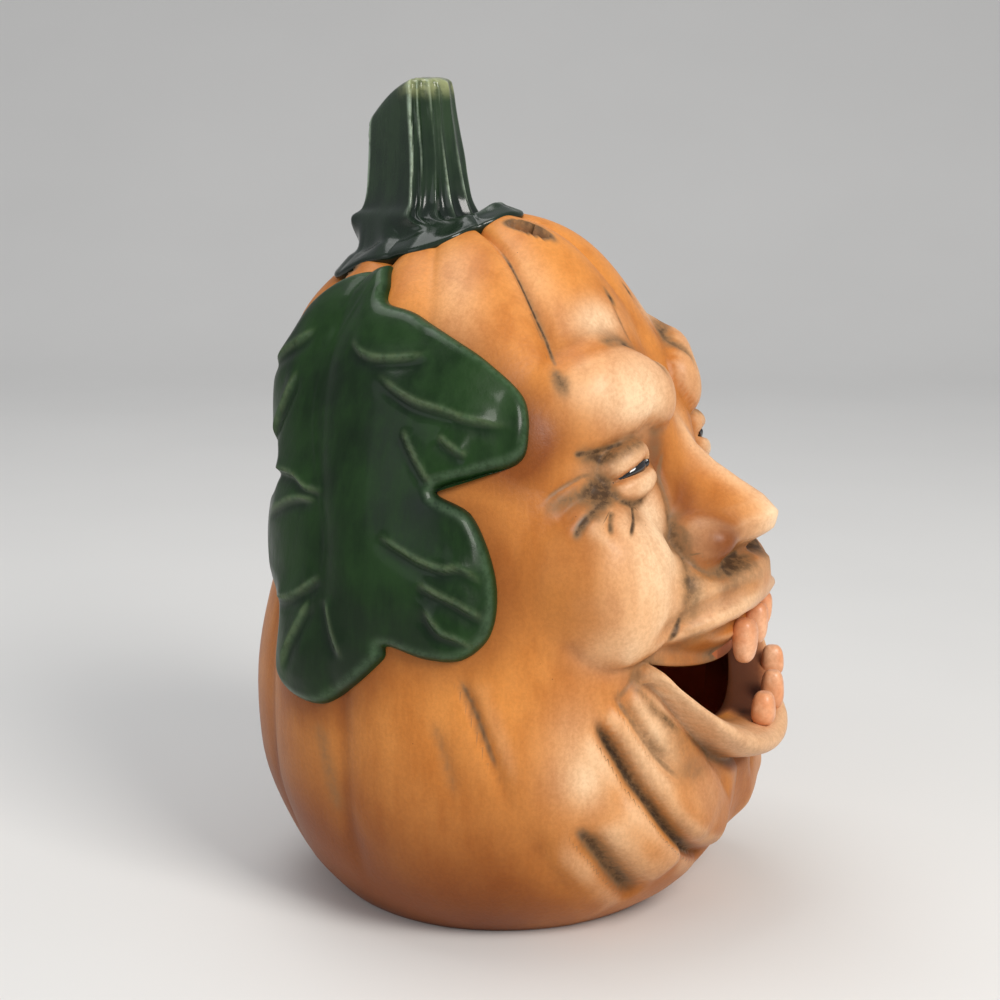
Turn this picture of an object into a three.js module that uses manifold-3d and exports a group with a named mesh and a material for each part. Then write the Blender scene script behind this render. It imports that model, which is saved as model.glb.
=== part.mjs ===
// Jack-o-lantern candle holder: a hollow ceramic pumpkin with a laughing face, a leaf on one side
// and a stem on the crown, standing over a tea light on a small plate.
// Millimetres. +Z is up, the face looks towards -Y, and the origin is on the table at the middle
// of the foot. A place on the pumpkin is given by its height and by its distance across from the
// middle of the face, measured round the pumpkin; its own right side, which has the leaf, is -X.

import * as THREE from 'three';
import { mergeVertices } from 'three/addons/utils/BufferGeometryUtils.js';
import Module from 'manifold-3d';

const wasm = await Module();
wasm.setup();

// Driving dimensions of the pumpkin
const BELLY_RADIUS = 72;
const BELLY_HEIGHT = 52;
const CROWN_HEIGHT = 199;
const FOOT_RADIUS = 50;
const CROWN_FULLNESS = 2.3;
const FOOT_FULLNESS = 2.4;
const LEAN_START = 50;
const LEAN_DEGREES = 12;
const WALL = 5;
const VALLEY_DEPTH = 4;
const CREASE_DEPTH = 6;
const WAIST_HEIGHT = 122;
const WAIST_DEPTH = 5.5;
const FIT = 0.35;
// The radius at which distances across the face are measured
const FACE_RADIUS = BELLY_RADIUS - 2;

// Driving dimensions of the face
const MOUTH_HEIGHT = 80;
const MOUTH_HALF_WIDTH = 41;
const MOUTH_DROP = 22.5;
const MOUTH_DIP = 6;
const MOUTH_FULLNESS = 1.15;
const LIP_BAND = 7.5;
const LOWER_LIP_REACH = 16;
const LOWER_LIP_THICKNESS = 5.8;
// Height of the muzzle's middle over the mouth's corners
const MUZZLE_RISE = 15;
const MUZZLE_REACH = 14;
const NOSE_TIP_HEIGHT = 108.5;
const NOSE_REACH = 20;
const NOSE_HALF_WIDTH = 17;
const CHEEK_ACROSS = 49;
const CHEEK_HEIGHT = 101;
const CHEEK_REACH = 11;
const EYE_ACROSS = 35.2;
const EYE_HEIGHT = 128.2;
const EYE_HALF_WIDTH = 6.8;
const EYE_HALF_HEIGHT = 3.2;
const EYE_HALF_DEPTH = 2.6;
const BROW_HEIGHT = 150;
const BROW_REACH = 6.6;
const BROW_HALF_HEIGHT = 14;
const CHIN_HEIGHT = 36;
const JOWL_REACH = 6.3;

// Driving dimensions of the leaf and the stem
const LEAF_ACROSS = 127;
const LEAF_HEIGHT = 124;
const LEAF_LENGTH = 121;
const LEAF_THICKNESS = 5;
const STEM_BACK = 26;
const CALYX_BACK = 21;
const CALYX_RADIUS = 25;
const STEM_RADIUS = 14;
const STEM_HEIGHT = 41;
const STEM_TOP_SLOPE = 0.42;

// Driving dimensions of the vents, the plate and the tea light
const VENT_LENGTH = 14;
const VENT_WIDTH = 6;
const PLATE_THICKNESS = 5;
const RING_HEIGHT = 4;
const RING_WALL = 2.5;
const CUP_RADIUS = 19.5;
const CUP_HEIGHT = 16;
const CUP_WALL = 0.8;
const WAX_HEIGHT = 12.5;
const WICK_RADIUS = 1;
const WICK_ABOVE_WAX = 6;
const PIECE_GAP = 0.3;
const TAB_RADIUS = 6;
const TAB_THICKNESS = 1;

// Counts of the modelling grid
const COLUMNS = 80;
const OUTER_ROWS = 36;
const INNER_ROWS = 11;
const COLUMN_GATHER = 0.5;

const clamp = (x, low, high) => Math.min(Math.max(x, low), high);
const mix = (a, b, t) => a + (b - a) * t;

function smoothstep(x, from, to) {
  const t = clamp((x - from) / (to - from), 0, 1);
  return t * t * (3 - 2 * t);
}

// The larger of two heights, with the crease between them rounded over a width k
function smoothMax(a, b, k) {
  const h = Math.max(k - Math.abs(a - b), 0) / k;
  return Math.max(a, b) + h * h * k / 4;
}

function interpolate(x, xs, ys) {
  if (x <= xs[0]) return ys[0];
  for (let i = 1; i < xs.length; i += 1) {
    if (x <= xs[i]) return mix(ys[i - 1], ys[i], (x - xs[i - 1]) / (xs[i] - xs[i - 1]));
  }
  return ys[ys.length - 1];
}

// How far a place lies from the middle of an oval: 1 on its rim
function ovalReach(across, up, oval) {
  return ((across - oval.across) / oval.width) ** 2 + ((up - oval.up) / oval.height) ** 2;
}

const swell = (across, up, oval) => oval.reach * Math.exp(-ovalReach(across, up, oval));

function signedPower(x, power) {
  return Math.sign(x) * Math.abs(x) ** power;
}

const dome = (across, up, oval, power) => oval.reach * signedPower(1 - ovalReach(across, up, oval), power);

// A line drawn on the skin through places [across, up]
function skinLine(places) {
  const curve = new THREE.SplineCurve(places.map(([across, up]) => new THREE.Vector2(across, up)));
  return curve.getPoints(8 * (places.length - 1));
}

// Distance from a place to such a line, the share of the line passed there, and the side of the line
// on which the place lies: 1 or -1
function nearLine(across, up, line) {
  let distance = Infinity;
  let share = 0;
  let side = 1;
  for (let i = 1; i < line.length; i += 1) {
    const dx = line[i].x - line[i - 1].x;
    const dy = line[i].y - line[i - 1].y;
    const t = clamp(((across - line[i - 1].x) * dx + (up - line[i - 1].y) * dy) / (dx * dx + dy * dy), 0, 1);
    const d = Math.hypot(across - line[i - 1].x - t * dx, up - line[i - 1].y - t * dy);
    if (d < distance) {
      distance = d;
      share = (i - 1 + t) / (line.length - 1);
      side = Math.sign((across - line[i - 1].x) * dy - (up - line[i - 1].y) * dx) || 1;
    }
  }
  return { distance, share, side };
}

// A crease along a line between two rolls, the roll on its far side a third as high, fading out at
// both of its ends
function foldHeight(across, up, fold) {
  const { distance, share, side } = nearLine(across, up, fold.line);
  const fade = smoothstep(share, 0, fold.fadeIn) * (1 - smoothstep(share, 1 - fold.fadeOut, 1));
  const reach = distance / (2.4 * fold.width);
  const roll = fold.roll * (side > 0 ? 1 : 0.35) * reach * Math.exp(1 - reach);
  return fade * (roll - fold.depth * Math.exp(-((distance / fold.width) ** 1.5)));
}

// Radius of the plain pumpkin at a height
function profileRadius(z) {
  if (z >= BELLY_HEIGHT) {
    const rise = clamp((z - BELLY_HEIGHT) / (CROWN_HEIGHT - BELLY_HEIGHT), 0, 1);
    return BELLY_RADIUS * (1 - rise ** CROWN_FULLNESS) ** (1 / CROWN_FULLNESS);
  }
  const depth = 1 - (FOOT_RADIUS / BELLY_RADIUS) ** FOOT_FULLNESS;
  const fall = clamp((BELLY_HEIGHT - z) / BELLY_HEIGHT, 0, 1) * depth ** (1 / FOOT_FULLNESS);
  return BELLY_RADIUS * (1 - fall ** FOOT_FULLNESS) ** (1 / FOOT_FULLNESS);
}

// The profile's height at a radius, over the belly
function profileHeight(r) {
  const share = clamp(r / BELLY_RADIUS, 0, 1);
  return BELLY_HEIGHT + (CROWN_HEIGHT - BELLY_HEIGHT) * (1 - share ** CROWN_FULLNESS) ** (1 / CROWN_FULLNESS);
}

// Outward and upward shares of the profile's normal; under the belly it stays level
function profileNormal(z, r) {
  const upper = CROWN_HEIGHT - BELLY_HEIGHT;
  const up = clamp((z - BELLY_HEIGHT) / upper, 0, 1) ** (CROWN_FULLNESS - 1) / upper;
  const out = clamp(r / BELLY_RADIUS, 0, 1) ** (CROWN_FULLNESS - 1) / BELLY_RADIUS;
  const length = Math.hypot(up, out);
  return { out: out / length, up: up / length };
}

// The open mouth lets the rows under its corners sag, and the upper lip dips a little
function mouthShape(across) {
  return Math.max(1 - (across / MOUTH_HALF_WIDTH) ** 2, 0);
}

function sagUnderMouth(across, z) {
  const share = z / MOUTH_HEIGHT;
  return z - MOUTH_DROP * mouthShape(across) ** MOUTH_FULLNESS * share ** 2 * (1 + 0.6 * (1 - share));
}

// Height over the mouth's corners at which the upper lip's dip has gone
const LIP_SPAN = 30;

function dipOverMouth(across, z) {
  const rise = clamp((z - MOUTH_HEIGHT) / LIP_SPAN, 0, 1);
  return z - MOUTH_DIP * mouthShape(across) * (1 - rise) ** 2 * (1 + rise);
}

// Valleys between the pumpkin's ribs: degrees round from the face at the crown and at the foot,
// shares of the depth above and below, how much of it is narrow, and where the upper part ends
const VALLEYS = [
  { crown: 0, foot: 0, high: 0.7, low: 0, narrow: 0.4, end: CROWN_HEIGHT - 37 },
  { crown: 42, foot: 44, high: 0.75, low: 0, narrow: 0.65, end: CROWN_HEIGHT - 49 },
  { crown: 80, foot: 72, high: 0.3, low: 0, narrow: 0.4, end: CROWN_HEIGHT - 49 },
  { crown: 114, foot: 106, high: 1, low: 0.65, narrow: 0.4, end: CROWN_HEIGHT - 49 },
  { crown: 148, foot: 138, high: 1, low: 0.7, narrow: 0.4, end: CROWN_HEIGHT - 49 },
  { crown: 180, foot: 180, high: 1, low: 0.7, narrow: 0.4, end: CROWN_HEIGHT - 49 },
];

function ribs(degrees, z) {
  let depth = 0;
  for (const valley of VALLEYS) {
    const middle = mix(valley.foot, valley.crown, smoothstep(z, BELLY_HEIGHT + 8, CROWN_HEIGHT - 9));
    const aside = Math.abs(Math.abs(degrees) - middle);
    const section = (1 - valley.narrow) * Math.exp(-((aside / 10) ** 2))
      + valley.narrow * Math.exp(-((aside / 2.6) ** 1.6));
    const upper = smoothstep(z, valley.end, valley.end + 22);
    const lower = valley.low * smoothstep(z, 8, 30) * (1 - upper);
    depth += VALLEY_DEPTH * (valley.high * upper + lower) * section;
  }
  return -depth;
}

const FOREHEAD = { across: 0, up: CROWN_HEIGHT - 11, width: 46, height: 17, reach: 6 };
const NAPE = { across: 200, up: CROWN_HEIGHT - 23, width: 50, height: 20, reach: 7 };
const SEAT = { across: 200, up: BELLY_HEIGHT + 12, width: 50, height: 28, reach: 2 };
const JOWL = { across: 26, up: CHIN_HEIGHT - 5, width: 34, height: 24, reach: JOWL_REACH };
const CHIN = { across: 0, up: CHIN_HEIGHT - 2, width: 20, height: 18, reach: 1.5 };
const SOCKET = { across: EYE_ACROSS - 1.5, up: EYE_HEIGHT + 1, width: 19, height: 8, reach: 5 };
const MUZZLE = {
  across: 0, up: MOUTH_HEIGHT + MUZZLE_RISE, width: MOUTH_HALF_WIDTH + 3, height: 18, reach: MUZZLE_REACH,
};
const BROW_SWELL = { across: 33, up: BROW_HEIGHT + 1, width: 26, height: 17, reach: 1.3 };
// The left brow sits a little flatter than the right one
const LEFT_BROW = { across: 27, up: BROW_HEIGHT - 6, width: 11, height: 7, reach: 2.2 };
const BROW_LINE = skinLine([
  [17, BROW_HEIGHT - 3.5], [24, BROW_HEIGHT - 0.5], [34, BROW_HEIGHT + 0.5], [50, BROW_HEIGHT - 3],
  [64, BROW_HEIGHT - 9],
]);
const NOSE_WING = {
  across: NOSE_HALF_WIDTH - 1, up: NOSE_TIP_HEIGHT - 4, width: 9.5, height: 8, reach: 13.5,
};
const NOSTRIL = { across: 11, up: NOSE_TIP_HEIGHT - 9.5, width: 4.5, height: 3, reach: 5.5 };
const NOSE_ROOT = { across: 0, up: BROW_HEIGHT, width: 6, height: 14, reach: 3 };
const UPPER_LID = { across: EYE_ACROSS, up: EYE_HEIGHT + 3.2, width: 8.6, height: 4.8, reach: 3.6 };
const LOWER_LID = { across: EYE_ACROSS - 0.4, up: EYE_HEIGHT - 3.3, width: 9, height: 3.8, reach: 2.6 };
// Folds run from the mouth's corner and the jowl down to the chin
const FOLDS = [
  {
    places: [
      [MOUTH_HALF_WIDTH + 17.5, MOUTH_HEIGHT - 10], [50, CHIN_HEIGHT + 20], [44, CHIN_HEIGHT + 9.5],
      [35, CHIN_HEIGHT - 3], [24, CHIN_HEIGHT - 12], [8, CHIN_HEIGHT - 19],
    ],
    share: 0.77, roll: 2.6, width: 2.6, fadeIn: 0.12, fadeOut: 0.12,
  },
  {
    places: [
      [MOUTH_HALF_WIDTH + 11, MOUTH_HEIGHT - 5], [MOUTH_HALF_WIDTH + 4, MOUTH_HEIGHT - 17],
      [MOUTH_HALF_WIDTH - 2.5, MOUTH_HEIGHT - 26], [30, CHIN_HEIGHT + 9],
    ],
    share: 0.3, roll: 1.2, width: 2.2, fadeIn: 0.2, fadeOut: 0.4,
  },
  {
    places: [[64, CHIN_HEIGHT + 5], [58, CHIN_HEIGHT - 3], [50, CHIN_HEIGHT - 13], [38, CHIN_HEIGHT - 24]],
    share: 0.7, roll: 2.4, width: 3.4, fadeIn: 0.25, fadeOut: 0.15,
  },
].map((fold) => ({ ...fold, depth: fold.share * CREASE_DEPTH, line: skinLine(fold.places) }));

// Profile of the nose's ridge: height over its tip's height, and shares of its reach and width
const RIDGE_UP = [-17.5, -13.5, -9.5, -6.5, -3.5, 0, 4.5, 9.5, 15.5, 21.5, 28.5, 34.5, 41.5];
const RIDGE_REACH = [-0.4, 0.05, 0.4, 0.7, 0.925, 1, 0.84, 0.56, 0.27, 0.08, -0.04, -0.09, -0.2];
const RIDGE_WIDTH = [0.7, 0.76, 0.88, 0.97, 1, 0.97, 0.95, 0.9, 0.84, 0.76, 0.65, 0.53, 0.41];

// The pumpkin's narrower back between the belly and the crown
function waist(degrees, z) {
  const behind = smoothstep(Math.abs(degrees), 100, 150);
  return WAIST_DEPTH * behind * Math.exp(-(((z - WAIST_HEIGHT) / 34) ** 2));
}

function browHeight(across, z) {
  const { distance, share } = nearLine(across, z, BROW_LINE);
  const soft = Math.max(smoothstep(z, BROW_HEIGHT - 1, BROW_HEIGHT + 7), smoothstep(across, 34, 50));
  const half = BROW_HALF_HEIGHT * (0.7 + 0.3 * smoothstep(share, 0, 0.35));
  const section = Math.max(1 - (distance / half) ** 2, 0) ** (0.55 + 0.95 * soft);
  return BROW_REACH * (1 - 0.73 * smoothstep(share, 0.5, 0.95)) * section + swell(across, z, BROW_SWELL);
}

// An egg-shaped cheek, steep towards the nose and the mouth and soft behind and above
function cheekHeight(across, z) {
  const width = across < CHEEK_ACROSS ? 21.5 : 25;
  const height = z < CHEEK_HEIGHT ? 21 : 27;
  const soft = Math.max(
    smoothstep(across, CHEEK_ACROSS - 2, CHEEK_ACROSS + 11),
    smoothstep(z, CHEEK_HEIGHT + 3, CHEEK_HEIGHT + 21),
  );
  const inside = 1 - ((across - CHEEK_ACROSS) / width) ** 2 - ((z - CHEEK_HEIGHT) / height) ** 2;
  return CHEEK_REACH * signedPower(inside, 0.6 + 0.9 * soft);
}

function noseHeight(across, z) {
  const up = z - NOSE_TIP_HEIGHT;
  const width = NOSE_HALF_WIDTH * interpolate(up, RIDGE_UP, RIDGE_WIDTH);
  return NOSE_REACH * interpolate(up, RIDGE_UP, RIDGE_REACH) - 9 * (across / width) ** 1.5;
}

// The gum under the upper lip, sunk behind the lip's lower edge
function sinkGum(height, across, z) {
  const lipEdge = MOUTH_HEIGHT + 0.5 + (LIP_BAND - 0.5) * mouthShape(across) ** 0.9;
  const rim = MOUTH_HEIGHT - MOUTH_DIP * mouthShape(across);
  const inside = (1 - smoothstep(z, lipEdge - 1.8, lipEdge + 0.2))
    * smoothstep(z, rim - 3, rim - 1)
    * (1 - smoothstep(across, MOUTH_HALF_WIDTH - 8, MOUTH_HALF_WIDTH));
  const gum = 6 + 3.4 * Math.exp(-(((z - rim - 2.6) / 2.8) ** 2));
  return mix(height, Math.min(height, gum), inside);
}

// The rolled lower lip, just under the edge of the open mouth
function addLowerLip(height, across, z) {
  const under = MOUTH_HEIGHT - MOUTH_DROP * mouthShape(across) ** MOUTH_FULLNESS - z;
  if (under < -0.01) return height;
  const beside = 1 - smoothstep(across, MOUTH_HALF_WIDTH - 2, MOUTH_HALF_WIDTH + 12);
  const thickness = LOWER_LIP_THICKNESS * (1 - 0.28 * smoothstep(across, 10, MOUTH_HALF_WIDTH));
  const roll = Math.sqrt(Math.max(1 - ((under - 0.9 * thickness) / thickness) ** 2, 0));
  const reach = LOWER_LIP_REACH - 7.5 * smoothstep(across, 0, MOUTH_HALF_WIDTH);
  const lip = reach * roll * beside - 20 * (1 - beside);
  const tuck = 7 * Math.exp(-((Math.max(under, 0) / 1.5) ** 1.5))
    * (1 - smoothstep(across, MOUTH_HALF_WIDTH - 6, MOUTH_HALF_WIDTH));
  return smoothMax(height, lip, 2) - tuck;
}

// Height of the outer skin over the plain pumpkin
function relief(degrees, z) {
  const across = Math.abs(THREE.MathUtils.degToRad(degrees)) * FACE_RADIUS;
  const ground = ribs(degrees, z) - waist(degrees, z)
    + swell(across, z, FOREHEAD) + swell(across, z, NAPE) + swell(across, z, SEAT)
    + swell(across, z, JOWL)
    + swell(across, z, CHIN) - swell(across, z, SOCKET);
  let height = smoothMax(ground, dome(across, z, MUZZLE, 0.8), 3);
  height += browHeight(across, z) - (degrees < 0 ? swell(across, z, LEFT_BROW) : 0);
  height = smoothMax(height, ground + cheekHeight(across, z), 2);
  height = smoothMax(height, noseHeight(across, z), 2.5);
  height = smoothMax(height, dome(across, z, NOSE_WING, 0.7), 4);
  height -= swell(across, z, NOSTRIL) + swell(across, z, NOSE_ROOT);
  height = smoothMax(height, dome(across, z, UPPER_LID, 0.8), 1.5);
  height = smoothMax(height, dome(across, z, LOWER_LID, 0.8), 1.5);
  height = sinkGum(height, across, z);
  height = addLowerLip(height, across, z);
  for (const fold of FOLDS) height += foldHeight(across, z, fold);
  return height * smoothstep(z, -6, 8);
}

// Depth of the hollow's wall under the plain pumpkin; it follows the muzzle and the waist
const HOLLOW_MUZZLE = { across: 0, up: MOUTH_HEIGHT + 2, width: 46, height: 30, reach: 8 };

function hollowRelief(degrees, z) {
  const across = Math.abs(THREE.MathUtils.degToRad(degrees)) * FACE_RADIUS;
  return swell(across, z, HOLLOW_MUZZLE) - waist(degrees, z) - WALL - VALLEY_DEPTH / 2;
}

// The upper body leans back along an arc
function lean(x, y, z) {
  const bend = THREE.MathUtils.degToRad(LEAN_DEGREES) / (CROWN_HEIGHT - LEAN_START);
  if (z <= LEAN_START) return new THREE.Vector3(x, y, z);
  const turn = bend * (z - LEAN_START);
  const back = (1 - Math.cos(turn)) / bend + y * Math.cos(turn);
  const up = LEAN_START + Math.sin(turn) / bend - y * Math.sin(turn);
  return new THREE.Vector3(x, back, up);
}

// A point over the plain pumpkin: degrees round, height and radius of the profile, distance out
function skinPoint(degrees, z, r, out) {
  const normal = profileNormal(z, r);
  const radius = r + out * normal.out;
  const turn = THREE.MathUtils.degToRad(degrees);
  return lean(-Math.sin(turn) * radius, -Math.cos(turn) * radius, z + out * normal.up);
}

const toDegrees = (across) => THREE.MathUtils.radToDeg(across / FACE_RADIUS);

// A point over the modelled skin at a distance across and a height
function facePoint(across, z, out) {
  const degrees = toDegrees(across);
  return skinPoint(degrees, z, profileRadius(z), relief(degrees, z) + out);
}

// The profile's rows from the foot to the crown, closer together over the face
function profileRows(count) {
  const samples = [];
  for (let i = 0; i < 100; i += 1) {
    const z = BELLY_HEIGHT * i / 100;
    samples.push({ z, r: profileRadius(z), run: 0 });
  }
  for (let i = 0; i <= 200; i += 1) {
    const turn = Math.PI / 2 * i / 200;
    const z = BELLY_HEIGHT + (CROWN_HEIGHT - BELLY_HEIGHT) * Math.sin(turn) ** (2 / CROWN_FULLNESS);
    samples.push({ z, r: i === 200 ? 0 : BELLY_RADIUS * Math.cos(turn) ** (2 / CROWN_FULLNESS), run: 0 });
  }
  for (let i = 1; i < samples.length; i += 1) {
    const a = samples[i - 1];
    const b = samples[i];
    const z = (a.z + b.z) / 2;
    const face = 1 + 1.2 * Math.exp(-(((z - MOUTH_HEIGHT - 2) / 28) ** 2))
      + 0.9 * Math.exp(-(((z - EYE_HEIGHT - 2) / 30) ** 2));
    const thin = 0.35 + 0.65 * smoothstep((a.r + b.r) / 2, 5, 40);
    b.run = a.run + Math.hypot(b.z - a.z, b.r - a.r) * face * thin;
  }
  const runs = samples.map((sample) => sample.run);
  const rows = [];
  for (let i = 0; i < count; i += 1) {
    const run = runs[runs.length - 1] * i / (count - 1);
    rows.push({
      z: interpolate(run, runs, samples.map((sample) => sample.z)),
      r: interpolate(run, runs, samples.map((sample) => sample.r)),
    });
  }
  const mouth = rows.reduce((best, row, i) => (
    Math.abs(row.z - MOUTH_HEIGHT) < Math.abs(rows[best].z - MOUTH_HEIGHT) ? i : best), 0);
  const shift = MOUTH_HEIGHT - rows[mouth].z;
  for (const row of rows.slice(1, -1)) row.z += shift * Math.exp(-(((row.z - MOUTH_HEIGHT) / 10) ** 2));
  return { rows, mouth };
}

// Columns round the pumpkin, gathered towards the face
const COLUMN_DEGREES = Array.from({ length: COLUMNS }, (_, i) => {
  const share = 2 * i / COLUMNS - 1;
  return 180 * share - THREE.MathUtils.radToDeg(COLUMN_GATHER * Math.sin(Math.PI * share));
});
const COLUMN_ACROSS = COLUMN_DEGREES.map((degrees) => THREE.MathUtils.degToRad(degrees) * FACE_RADIUS);

class SolidMesh {
  constructor() {
    this.points = [];
    this.faces = [];
  }

  add(point) {
    this.points.push(point);
    return this.points.length - 1;
  }

  quad(a, b, c, d) {
    this.faces.push([a, b, c], [a, c, d]);
  }

  // Joins two closed rings of points; seen from outside, the second ring is above the first
  band(low, high) {
    low.forEach((_, i) => {
      const next = (i + 1) % low.length;
      this.quad(low[next], low[i], high[i], high[next]);
    });
  }

  // Closes a ring with one point
  fan(ring, tip, upwards) {
    ring.forEach((_, i) => {
      const next = (i + 1) % ring.length;
      this.faces.push(upwards ? [ring[next], ring[i], tip] : [ring[i], ring[next], tip]);
    });
  }

  geometry() {
    const geometry = new THREE.BufferGeometry();
    const positions = this.points.flatMap((point) => [point.x, point.y, point.z]);
    geometry.setAttribute('position', new THREE.Float32BufferAttribute(positions, 3));
    geometry.setIndex(this.faces.flat());
    return geometry;
  }
}

// One skin of the pumpkin in a mesh: rings of point indices from the foot up, its pole, and the
// slit's lower ring, which shares its points with the upper one outside the mouth
function addSkin(mesh, rowCount, heightAt, openMouth) {
  const { rows, mouth } = profileRows(rowCount);
  const point = (column, z, r) => skinPoint(column, z, r, heightAt(column, z, r));
  const rings = rows.slice(0, -1).map((row, i) => COLUMN_DEGREES.map((column, j) => {
    const z = i < mouth ? sagUnderMouth(COLUMN_ACROSS[j], row.z) : dipOverMouth(COLUMN_ACROSS[j], row.z);
    const r = row.z < 130 ? profileRadius(z) : row.r;
    return mesh.add(point(column, z, r));
  }));
  const lower = rings[mouth].map((index, j) => {
    if (!openMouth || Math.abs(COLUMN_ACROSS[j]) >= MOUTH_HALF_WIDTH) return index;
    const z = sagUnderMouth(COLUMN_ACROSS[j], MOUTH_HEIGHT);
    return mesh.add(point(COLUMN_DEGREES[j], z, profileRadius(z)));
  });
  const crown = rows[rows.length - 1];
  return { rings, mouth, lower, pole: mesh.add(point(0, crown.z, 0)) };
}

// Pairs of neighbouring rings of a skin, from the foot to the crown
function ringPairs(skin) {
  return skin.rings.slice(1).map((ring, i) => [skin.rings[i], i + 1 === skin.mouth ? skin.lower : ring]);
}

const outerHeight = (gap) => (degrees, z, r) => relief(degrees, z) * smoothstep(r, 0.5, 10) + gap;

// The hollow pumpkin, open at the foot and the mouth; its skins lie a gap proud of the wall
function hollowPumpkin(gap) {
  const mesh = new SolidMesh();
  const outer = addSkin(mesh, OUTER_ROWS, outerHeight(gap), true);
  const inner = addSkin(mesh, INNER_ROWS, (degrees, z) => hollowRelief(degrees, z) - gap, true);
  for (const [low, high] of ringPairs(outer)) mesh.band(low, high);
  for (const [low, high] of ringPairs(inner)) mesh.band(high, low);
  mesh.fan(outer.rings[outer.rings.length - 1], outer.pole, true);
  mesh.fan(inner.rings[inner.rings.length - 1], inner.pole, false);
  mesh.band(inner.rings[0], outer.rings[0]);
  const mouthOuter = outer.rings[outer.mouth];
  const mouthInner = inner.rings[inner.mouth];
  for (let j = 0; j + 1 < COLUMNS; j += 1) {
    const open = Math.min(Math.abs(COLUMN_ACROSS[j]), Math.abs(COLUMN_ACROSS[j + 1])) < MOUTH_HALF_WIDTH;
    if (!open) continue;
    mesh.quad(mouthOuter[j + 1], mouthInner[j + 1], mouthInner[j], mouthOuter[j]);
    mesh.quad(outer.lower[j], inner.lower[j], inner.lower[j + 1], outer.lower[j + 1]);
  }
  return mesh.geometry();
}

// The same outer skin without a hollow, to cut what sits on the pumpkin
function filledPumpkin(gap) {
  const mesh = new SolidMesh();
  const outer = addSkin(mesh, OUTER_ROWS, outerHeight(gap), false);
  for (const [low, high] of ringPairs(outer)) mesh.band(low, high);
  mesh.fan(outer.rings[outer.rings.length - 1], outer.pole, true);
  mesh.fan(outer.rings[0], mesh.add(new THREE.Vector3(0, 0, 0)), false);
  return mesh.geometry();
}

function toManifold(geometry) {
  const bare = geometry.clone();
  bare.deleteAttribute('normal');
  bare.deleteAttribute('uv');
  const merged = mergeVertices(bare, 1e-4);
  return new wasm.Manifold(new wasm.Mesh({
    numProp: 3,
    vertProperties: new Float32Array(merged.attributes.position.array),
    triVerts: new Uint32Array(merged.index.array),
  }));
}

function fromManifold(manifold) {
  const mesh = manifold.getMesh();
  const geometry = new THREE.BufferGeometry();
  geometry.setAttribute('position', new THREE.Float32BufferAttribute(mesh.vertProperties, 3));
  geometry.setIndex(Array.from(mesh.triVerts));
  return geometry;
}

const placed = (geometry, matrix) => geometry.clone().applyMatrix4(matrix);

// A frame at a point whose Z looks along a direction and whose X lies near another one
function frameAt(origin, outward, sideways) {
  const z = outward.clone().normalize();
  const y = z.clone().cross(sideways).normalize();
  const x = y.clone().cross(z);
  return new THREE.Matrix4().makeBasis(x, y, z).setPosition(origin);
}

// Outward direction of the plain pumpkin at a place
function outwardAt(across, z) {
  const degrees = toDegrees(across);
  const r = profileRadius(z);
  return skinPoint(degrees, z, r, 1).sub(skinPoint(degrees, z, r, 0)).normalize();
}

// The crown's point over a place in plan, found by stepping between the lean and the profile
function crownPoint(x, y, out) {
  const bend = THREE.MathUtils.degToRad(LEAN_DEGREES) / (CROWN_HEIGHT - LEAN_START);
  let z = CROWN_HEIGHT;
  let back = y;
  for (let i = 0; i < 8; i += 1) {
    const turn = bend * (z - LEAN_START);
    back = (y - (1 - Math.cos(turn)) / bend) / Math.cos(turn);
    z = profileHeight(Math.hypot(x, back));
  }
  const degrees = THREE.MathUtils.radToDeg(Math.atan2(-x, -back));
  const r = Math.hypot(x, back);
  return skinPoint(degrees, z, r, relief(degrees, z) * smoothstep(r, 0.5, 10) + out);
}

// Upright vents through the crown, in front of the calyx and behind it; each runs along Y
const VENTS = [
  { x: -0.4 * CALYX_RADIUS, y: CALYX_BACK - 1.36 * CALYX_RADIUS },
  { x: -0.91 * CALYX_RADIUS, y: CALYX_BACK + 0.87 * CALYX_RADIUS },
];

function ventCutter(vent) {
  const outline = new THREE.Shape();
  outline.absellipse(vent.x, vent.y, VENT_WIDTH / 2, VENT_LENGTH / 2, 0, 2 * Math.PI);
  const depth = CROWN_HEIGHT / 2;
  const cutter = new THREE.ExtrudeGeometry(outline, { depth, bevelEnabled: false, curveSegments: 5 });
  return cutter.translate(0, 0, CROWN_HEIGHT + 10 - depth);
}

function eyeFrame(side) {
  const across = side * EYE_ACROSS;
  const origin = facePoint(across, EYE_HEIGHT, -1);
  const sideways = facePoint(across + 1, EYE_HEIGHT - 0.2 * side, 0)
    .sub(facePoint(across - 1, EYE_HEIGHT + 0.2 * side, 0));
  return frameAt(origin, outwardAt(across, EYE_HEIGHT), sideways);
}

// An eyeball's rounded front, or with a gap the pocket that it sits in
function eyeGeometry(side, gap) {
  const ball = new THREE.SphereGeometry(1, 14, 8);
  ball.scale(EYE_HALF_WIDTH + gap, EYE_HALF_HEIGHT + gap, EYE_HALF_DEPTH + gap);
  return placed(ball, eyeFrame(side));
}

function pumpkinShell() {
  let shell = toManifold(hollowPumpkin(0));
  for (const vent of VENTS) shell = shell.subtract(toManifold(ventCutter(vent)));
  for (const side of [1, -1]) shell = shell.subtract(toManifold(eyeGeometry(side, FIT)));
  return fromManifold(shell);
}

const FILLED = toManifold(filledPumpkin(FIT));
const WALL_WITH_GAP = toManifold(hollowPumpkin(FIT));

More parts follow.
